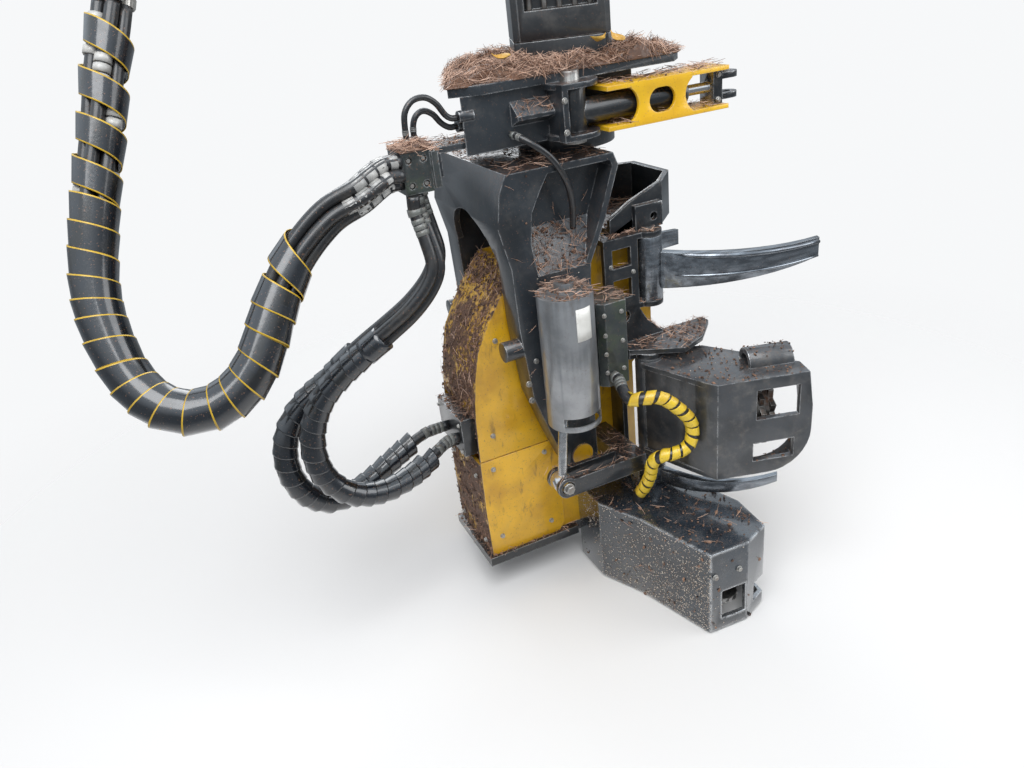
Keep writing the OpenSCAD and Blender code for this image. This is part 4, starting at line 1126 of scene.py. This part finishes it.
# Of each kind of litter: its shape, how many lie on a square metre, how fine its patches are, the
# noise below which the ground is bare, the layer's depth, how far one tilts, and its finish
KINDS = {
    "needles": (needle_shape, 38000, 9.0, 0.30, 0.010, 0.30, "dry_needles"),
    "crumbs": (crumb_shape, 14000, 9.0, 0.30, 0.004, 0.5, "bark_crumbs"),
    "flakes": (flake_shape, 9000, 9.0, 0.34, 0.002, 0.35, "bark_crumbs"),
    "sawdust": (dust_shape, 60000, 24.0, 0.54, 0.001, 0.4, "pale_sawdust"),
}
print("kinds of litter:", ", ".join(KINDS))

# %% [markdown]
# ## How litter is strewn
# The ground of each drift is a mesh of the faces it lies on, with an attribute that says how
# thickly they are covered. The recipe scatters points over it, a noise thins them into patches,
# and every point gets a height, a tilt, a size and a shade by chance. All seeds are fixed, so
# the same litter comes out every time.

# %% The scattering recipe
FULL_PATCH, ALL_ROUND = 0.66, 6.283
strewing = Recipe("strewing", Shape="Object", Density="Float", Seed="Int", Patches="Float",
                  Bare="Float", Depth="Float", Tilt="Float", Material="Material")
where = strewing.node("GeometryNodeInputPosition", {}, {})
patch = strewing.node("ShaderNodeTexNoise", {}, {
    "Vector": where, "Scale": strewing.given("Patches"), "Detail": 3.0}, "Fac")
cover = patch.ramp(strewing.given("Bare"), FULL_PATCH) * strewing.attribute("cover")
cast = strewing.node("GeometryNodeDistributePointsOnFaces", {}, {
    "Mesh": strewing.given("Mesh"), "Density": cover * strewing.given("Density"),
    "Seed": strewing.given("Seed")}, "Points")
outputs = cast.socket.node.outputs
lift = strewing.node("ShaderNodeVectorMath", {"operation": "SCALE"}, {
    0: outputs["Normal"], "Scale": strewing.chance(0.0, strewing.given("Depth"), 3)})
raised = strewing.node("GeometryNodeSetPosition", {}, {"Geometry": cast, "Offset": lift})
tilt = strewing.given("Tilt")
least = strewing.node("ShaderNodeCombineXYZ", {}, [tilt * -1.0, tilt * -1.0, 0.0])
most = strewing.node("ShaderNodeCombineXYZ", {}, [tilt, tilt, ALL_ROUND])
angles = strewing.node("FunctionNodeRandomValue", {"data_type": "FLOAT_VECTOR"}, {
    0: least, 1: most, "Seed": 5})
spin = strewing.node("FunctionNodeEulerToRotation", {}, {"Euler": angles})
turned = strewing.node("FunctionNodeRotateRotation", {"rotation_space": "LOCAL"}, [
    outputs["Rotation"], spin])
strewn = strewing.placed(raised, "Shape", Rotation=turned, Scale=strewing.chance(0.5, 1.15, 7))
marked = strewing.node("GeometryNodeStoreNamedAttribute", {
    "data_type": "FLOAT", "domain": "INSTANCE"}, {
    "Geometry": strewn, "Name": "shade", "Value": strewing.chance(0.0, 1.0, 9)})
strewing.finish(marked)
print("strewing inputs:", ", ".join(strewing.ids))

# %% [markdown]
# ## Heaps
# On the top plate and on the block so much has gathered that it lies in a low heap. Single
# needles alone would take far too many to build one up. So a grid of points is raised by noise,
# kept down where probes beside a point find no plate under them, and closed below.

# %% Heap up the litter
PROBES, NEAR_PROBE, FAR_PROBE, PROBE_DROP = 16, 0.012, 0.030, 0.01
LEAST_RISE, LEAST_THICK, BURIED = 0.0015, 0.0002, 0.002
DOWN = Vector((0, 0, -1))


def surface_of(node):
    """A CAD node as a tree that rays can be cast at."""
    mesh = frame["nodes"][node].data
    return BVHTree.FromPolygons([v.co for v in mesh.vertices],
                                [tuple(p.vertices) for p in mesh.polygons])


def rise_at(rays, x, y, z, depth):
    """How high the heap is above a point of the face: 0 beside it and low near its edges."""
    def plate_under(at_x, at_y):
        start = Vector((at_x, at_y, z + PROBE_DROP))
        return rays.ray_cast(start, DOWN, 2 * PROBE_DROP)[0] is not None

    if not plate_under(x, y):
        return 0.0
    hits = 0
    for k in range(PROBES):
        reach, turn = NEAR_PROBE if k % 2 else FAR_PROBE, 2 * math.pi * k / PROBES
        hits += plate_under(x + reach * math.cos(turn), y + reach * math.sin(turn))
    bumps = (0.45 + 0.9 * noise.noise(Vector((x, y, 0)) * 9)
             + 0.5 * noise.noise(Vector((x, y, 1)) * 30))
    return max(0.0, bumps) * (hits / PROBES) ** 1.6 * depth


def heap(name, node, low, high, level, depth, grid=0.007):
    """A low heap of litter on the flat face of a node that lies level, in millimetres."""
    low, high = from_plate([(*low, level), (*high, level)])
    rays = surface_of(node)
    count_x, count_y = (round((high[i] - low[i]) / grid) for i in range(2))
    corners = []
    for i in range(count_x + 1):
        for j in range(count_y + 1):
            x, y = low.x + i * grid, low.y + j * grid
            rise = rise_at(rays, x, y, low.z, depth)
            corners.append((x, y, low.z + (rise if rise > LEAST_RISE else -LEAST_RISE)))
    faces = [(i * (count_y + 1) + j, (i + 1) * (count_y + 1) + j,
              (i + 1) * (count_y + 1) + j + 1, i * (count_y + 1) + j + 1)
             for i in range(count_x) for j in range(count_y)]
    shape = bmesh.new()
    points = [shape.verts.new(c) for c in corners]
    for face in faces:
        if any(corners[k][2] > low.z for k in face):
            shape.faces.new([points[k] for k in face]).smooth = True
    bmesh.ops.delete(shape, geom=[v for v in shape.verts if not v.link_faces], context="VERTS")
    top = set(bmesh.ops.extrude_face_region(shape, geom=shape.faces[:])["geom"])
    for v in shape.verts:
        v.co.z = max(v.co.z, low.z + LEAST_THICK) if v in top else low.z - BURIED
    bmesh.ops.recalc_face_normals(shape, faces=shape.faces)
    return piece_of(name, mesh_of(name, shape), "litter_bed")


heaps = {"top_heap": heap("top_heap", "top_bracket", (-345, -172), (244, 172), 0, 0.046),
         "block_heap": heap("block_heap", "hose_manifold", (-490, -224), (-410, -124), -96, 0.014)}
for piece in heaps.values():
    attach(piece, "bracket")
print("heap faces:", {name: len(piece.data.polygons) for name, piece in heaps.items()})

# %% [markdown]
# ## Where the litter lies
# A drift is written as the node or heap it lies on, the way that node's faces have to look, and
# the share of each kind: needles, crumbs, flakes and sawdust. Two corners in millimetres may
# follow and keep it to a part of the node. Each body has its own drifts, because its litter has
# to move with it.

# %% Drifts
UP, TO_NEAR, TO_BACK = Vector((0, 0, 1)), Vector((0, -1, 0)), Vector((-1, 0, 0))
SLOPE = Vector((0, -0.5, 0.866))
EVERYWHERE = ((-600, -700, -1400), (700, 700, 300))
STEEPEST, STEEPEST_ON_HEAP = 0.62, 0.35
drifts = {
    "bracket": [("top_heap", UP, (1.0, 0.7, 0.3, 0.06)),
                ("top_bracket", UP, (0.35, 0.8, 0.3, 0.02), (-345, -175, -5), (245, 175, 5)),
                ("top_bracket", UP, (0.7, 1.0, 0.2, 0.0), (-250, -240, -110), (-100, -150, -40)),
                ("block_heap", UP, (0.8, 0.8, 0.3, 0.05)),
                ("hose_manifold", UP, (0.4, 0.9, 0.2, 0.0)),
                ("manifold_arm", UP, (0.8, 0.9, 0.2, 0.0)),
                ("tilt_guard", UP, (0.35, 0.9, 0.3, 0.0), (-260, -360, -470), (-100, -200, -400)),
                ("tilt_yoke", SLOPE, (0.45, 0.7, 0.3, 0.0), (-300, -206, -440), (30, -60, -250)),
                ("tilt_yoke", UP, (0.14, 0.4, 0.1, 0.0), (-300, -206, -225), (30, 206, -180)),
                ("tilt_yoke", TO_NEAR, (0.006, 0.02, 0.0, 0.02)),
                ("ear_pin", UP, (0.3, 0.5, 0.0, 0.0))],
    "head": [("top_hood", UP, (0.15, 0.7, 0.2, 0.2), (20, -140, -405), (250, 140, -380)),
             ("cheek_near", UP, (0.30, 0.9, 0.4, 0.15), (-20, -330, -720), (300, -100, -400)),
             ("cheek_far", UP, (0.20, 0.8, 0.3, 0.1), (-20, 100, -720), (300, 330, -400)),
             ("saw_box", UP, (0.03, 0.35, 0.12, 0.25), (-120, -600, -1105), (220, -100, -1090)),
             ("saw_box", TO_BACK, (0.004, 0.03, 0.04, 1.0), (-120, -600, -1360), (10, -100, -1090)),
             ("saw_box", TO_NEAR, (0.0, 0.02, 0.02, 0.2), (0, -600, -1360), (220, -100, -1090)),
             ("rear_cover_upper", TO_BACK, (0.06, 0.9, 1.0, 0.03)),
             ("rear_cover_upper", UP, (0.12, 0.9, 1.0, 0.03)),
             ("rear_cover_lower", TO_BACK, (0.0, 0.5, 0.5, 0.02)),
             ("rear_foot", UP, (0.2, 0.8, 0.4, 0.2)),
             ("tilt_lug", UP, (0.15, 0.7, 0.2, 0.1)),
             ("valve_block", UP, (0.6, 0.9, 0.3, 0.0)),
             ("hose_socket", UP, (0.15, 0.8, 0.4, 0.0))],
    "roller_arm_a": [("roller_arm_near", UP, (0.0, 0.4, 0.1, 0.12))],
    "roller_arm_b": [("roller_arm_far", UP, (0.0, 0.4, 0.1, 0.12))],
    "level_rod": [("push_guard", UP, (0.22, 0.15, 0.05, 0.0))],
}
print("drifts on:", ", ".join(drifts))

# %% [markdown]
# ## Strew the litter
# For each body and each kind, the faces of the drifts are gathered as the ground, and the recipe
# runs over it. What comes out empty is thrown away.

# %% Gather the ground and strew
FIRST_SEED = 11


def ground(spots, number):
    """The faces that one kind of litter lies on, with its share on each. number is its place in
    the shares of every drift."""
    shape = bmesh.new()
    cover = shape.faces.layers.float.new("cover")
    for node, outward, shares, *corners in spots:
        if shares[number] == 0:
            continue
        low, high = from_plate(corners or EVERYWHERE)
        steepest = STEEPEST_ON_HEAP if node in heaps else STEEPEST
        whole = bmesh.new()
        whole.from_mesh((heaps.get(node) or frame["nodes"][node]).data)
        for face in whole.faces:
            middle = face.calc_center_median()
            inside = all(low[i] <= middle[i] <= high[i] for i in range(3))
            if inside and face.normal.dot(outward) > steepest:
                shape.faces.new([shape.verts.new(v.co) for v in face.verts])[cover] = shares[number]
        whole.free()
    return mesh_of("ground", shape)


litter_faces = 0
for seed, (body, spots) in enumerate(drifts.items(), start=FIRST_SEED):
    for number, (kind, traits) in enumerate(KINDS.items()):
        shape, density, patches, bare_at, depth, tilt, finish = traits
        piece = strewing.run(kind + "_" + body, ground(spots, number), Shape=shape,
                             Density=float(density), Seed=seed, Patches=patches, Bare=bare_at,
                             Depth=depth, Tilt=tilt, Material=finishes[finish])
        if len(piece.data.polygons) == 0:
            bpy.data.objects.remove(piece)
            continue
        litter_faces += len(piece.data.polygons)
        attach(piece, body)
print("faces of litter:", litter_faces)

# %% [markdown]
# ## Three leaves and a sticker
# Three small leaves lie on the heap, and the guard carries a small white sticker with nothing on
# it. The leaves are bent sheets with a fold along the middle. The sticker follows the tube.

# %% Leaves and the blank sticker
SHEET_THICK = 0.0006


def thin_sheet(name, rows, finish):
    """A closed thin sheet through rows of points, which rides on the bracket."""
    shape = bmesh.new()
    points = [[shape.verts.new(p) for p in row] for row in rows]
    for a, b in zip(points, points[1:]):
        for i in range(len(a) - 1):
            shape.faces.new((a[i], a[i + 1], b[i + 1], b[i])).smooth = True
    piece = piece_of(name, mesh_of(name, shape), finish)
    wall = piece.modifiers.new("thickness", "SOLIDIFY")
    wall.thickness, wall.offset = SHEET_THICK, 1.0
    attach(piece, "bracket")


def leaf(name, x, y, z, turn, lean, size):
    """A pointed oval, folded along its middle and curled at the tip."""
    place = (Matrix.Translation(from_plate([(x, y, z)])[0]) @ Matrix.Rotation(lean, 4, "X")
             @ Matrix.Rotation(turn, 4, "Z"))
    rows = []
    for i in range(9):
        t = i / 8
        half = 0.32 * math.sin(math.pi * min(1.0, t * 1.08) ** 0.8) * size + 0.0006
        lift = 1.1 * size * (t - 0.5) ** 2
        rows.append([tuple(place @ Vector(((t - 0.5) * size, half * side,
                                           lift + 0.55 * half * abs(side))))
                     for side in (-1, -0.5, 0, 0.5, 1)])
    thin_sheet(name, rows, "leaf_yellow")


for i, spot in enumerate(((20, -152, 46, 0.4, 0.10, 0.050), (66, -150, 44, 1.9, 0.55, 0.042),
                          (-210, -132, 40, 2.6, 0.30, 0.040))):
    leaf("leaf_" + str(i), *spot)

painted("sticker_white", (0.80, 0.80, 0.77), (0.66, 0.66, 0.62), litter=0.3, dust=0.15, wear_and_highlight=0.0,
        gloss=0.5)
STICKER_HEIGHTS, STICKER_ANGLES = (-476, -502, -529, -555), range(-98, -61, 4)
STICKER_LIFT = 0.0010
guard_low, guard_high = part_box("tilt_guard")
guard_r = (guard_high[0] - guard_low[0]) / 2
around = guard_r + STICKER_LIFT
thin_sheet("blank_sticker", [[
    (guard_low[0] + guard_r + around * math.cos(math.radians(a)),
     guard_low[1] + guard_r + around * math.sin(math.radians(a)), (z - PLATE_DROP) / 1000)
    for a in STICKER_ANGLES] for z in STICKER_HEIGHTS], "sticker_white")
print("leaves and sticker are on")

# %% [markdown]
# ## Light and floor
# A soft studio: one large lamp high on the left, two weaker ones from the right and from
# behind, and a pale world that fills the shadows. Wet paint mirrors the sky, so to glossy rays
# the world is brighter the higher they look. It looks white to the camera only, which adds no
# light.

# %% Floor and lamps
FLOOR_HALF, FLOOR_GAP, FLOOR_FADE = 5, 0.004, (0.9, 2.6)


def studio_floor(height):
    """A pale floor that keeps the shadow near the head and fades into the white further out."""
    pale = Finish("floor_pale")
    across = pale.node("ShaderNodeVectorMath", {"operation": "SUBTRACT"},
                       [pale.place, (-0.1, 0.1, height)])
    far = pale.node("ShaderNodeVectorMath", {"operation": "LENGTH"}, [across], "Value")
    pale.done(Base_Color=(0.80, 0.80, 0.80), Roughness=0.8, Alpha=1 - far.ramp(*FLOOR_FADE))
    s = FLOOR_HALF
    mesh = bpy.data.meshes.new("floor")
    mesh.from_pydata([(-s, -s, height), (s, -s, height), (s, s, height), (-s, s, height)], [],
                     [(0, 1, 2, 3)])
    piece_of("floor", mesh, "floor_pale")


def lamp(name, place, target, size, power):
    """A square area lamp that looks from its place at the target."""
    light = bpy.data.lights.new(name, "AREA")
    light.size, light.energy = size, power
    holder = bpy.data.objects.new(name, light)
    place, target = Vector(place), Vector(target)
    holder.matrix_world = Matrix.Translation(place) @ (place - target).to_track_quat(
        "Z", "Y").to_matrix().to_4x4()
    bpy.context.collection.objects.link(holder)


studio_floor(cad_box[0][2] - FLOOR_GAP)
MIDDLE = (-0.2, -0.1, -1.0)
lamp("sky_panel", (-1.6, -2.2, 3.2), MIDDLE, 4.0, 235)
lamp("side_panel", (3.4, -2.6, 1.2), MIDDLE, 3.0, 70)
lamp("back_panel", (0.5, 4.0, 1.8), MIDDLE, 3.0, 70)

# %% [markdown]
# ## The world
# One world, three answers. A ray from the camera sees plain white. A mirrored ray sees a sky that
# is dim at the horizon and bright higher up, which gives wet steel its sheen. Every other ray
# brings an even, weak glow.

# %% World
GLOW, WHITE = 0.45, 1.0
world = bpy.data.worlds.new("studio")
bpy.context.scene.world = world
world.use_nodes = True
world.node_tree.nodes.clear()
sky = NodePlan(world.node_tree)
direction = sky.node("ShaderNodeTexCoord", {}, {}, "Generated")
upward = sky.node("ShaderNodeSeparateXYZ", {}, [direction], "Z")
brightness = sky.node("ShaderNodeMapRange", {}, {
    "Value": upward, "From Min": 0.05, "From Max": 0.45, "To Min": 0.30, "To Max": 1.35})
glow, mirrored, white = (
    sky.node("ShaderNodeBackground", {}, {"Color": colour, "Strength": strength})
    for colour, strength in (((0.95, 0.97, 1.0), GLOW), ((0.82, 0.91, 1.0), brightness),
                             ((0.93, 0.94, 0.95), WHITE)))
glossy, seen = (sky.node("ShaderNodeLightPath", {}, {}, ray)
                for ray in ("Is Glossy Ray", "Is Camera Ray"))
lit = sky.node("ShaderNodeMixShader", {}, [glossy, glow, mirrored])
either = sky.node("ShaderNodeMixShader", {}, [seen, lit, white])
sky.feed(sky.tree.nodes.new("ShaderNodeOutputWorld").inputs["Surface"], either)
bpy.context.scene.view_settings.view_transform = "Standard"
print("the world has", len(sky.tree.nodes), "nodes")
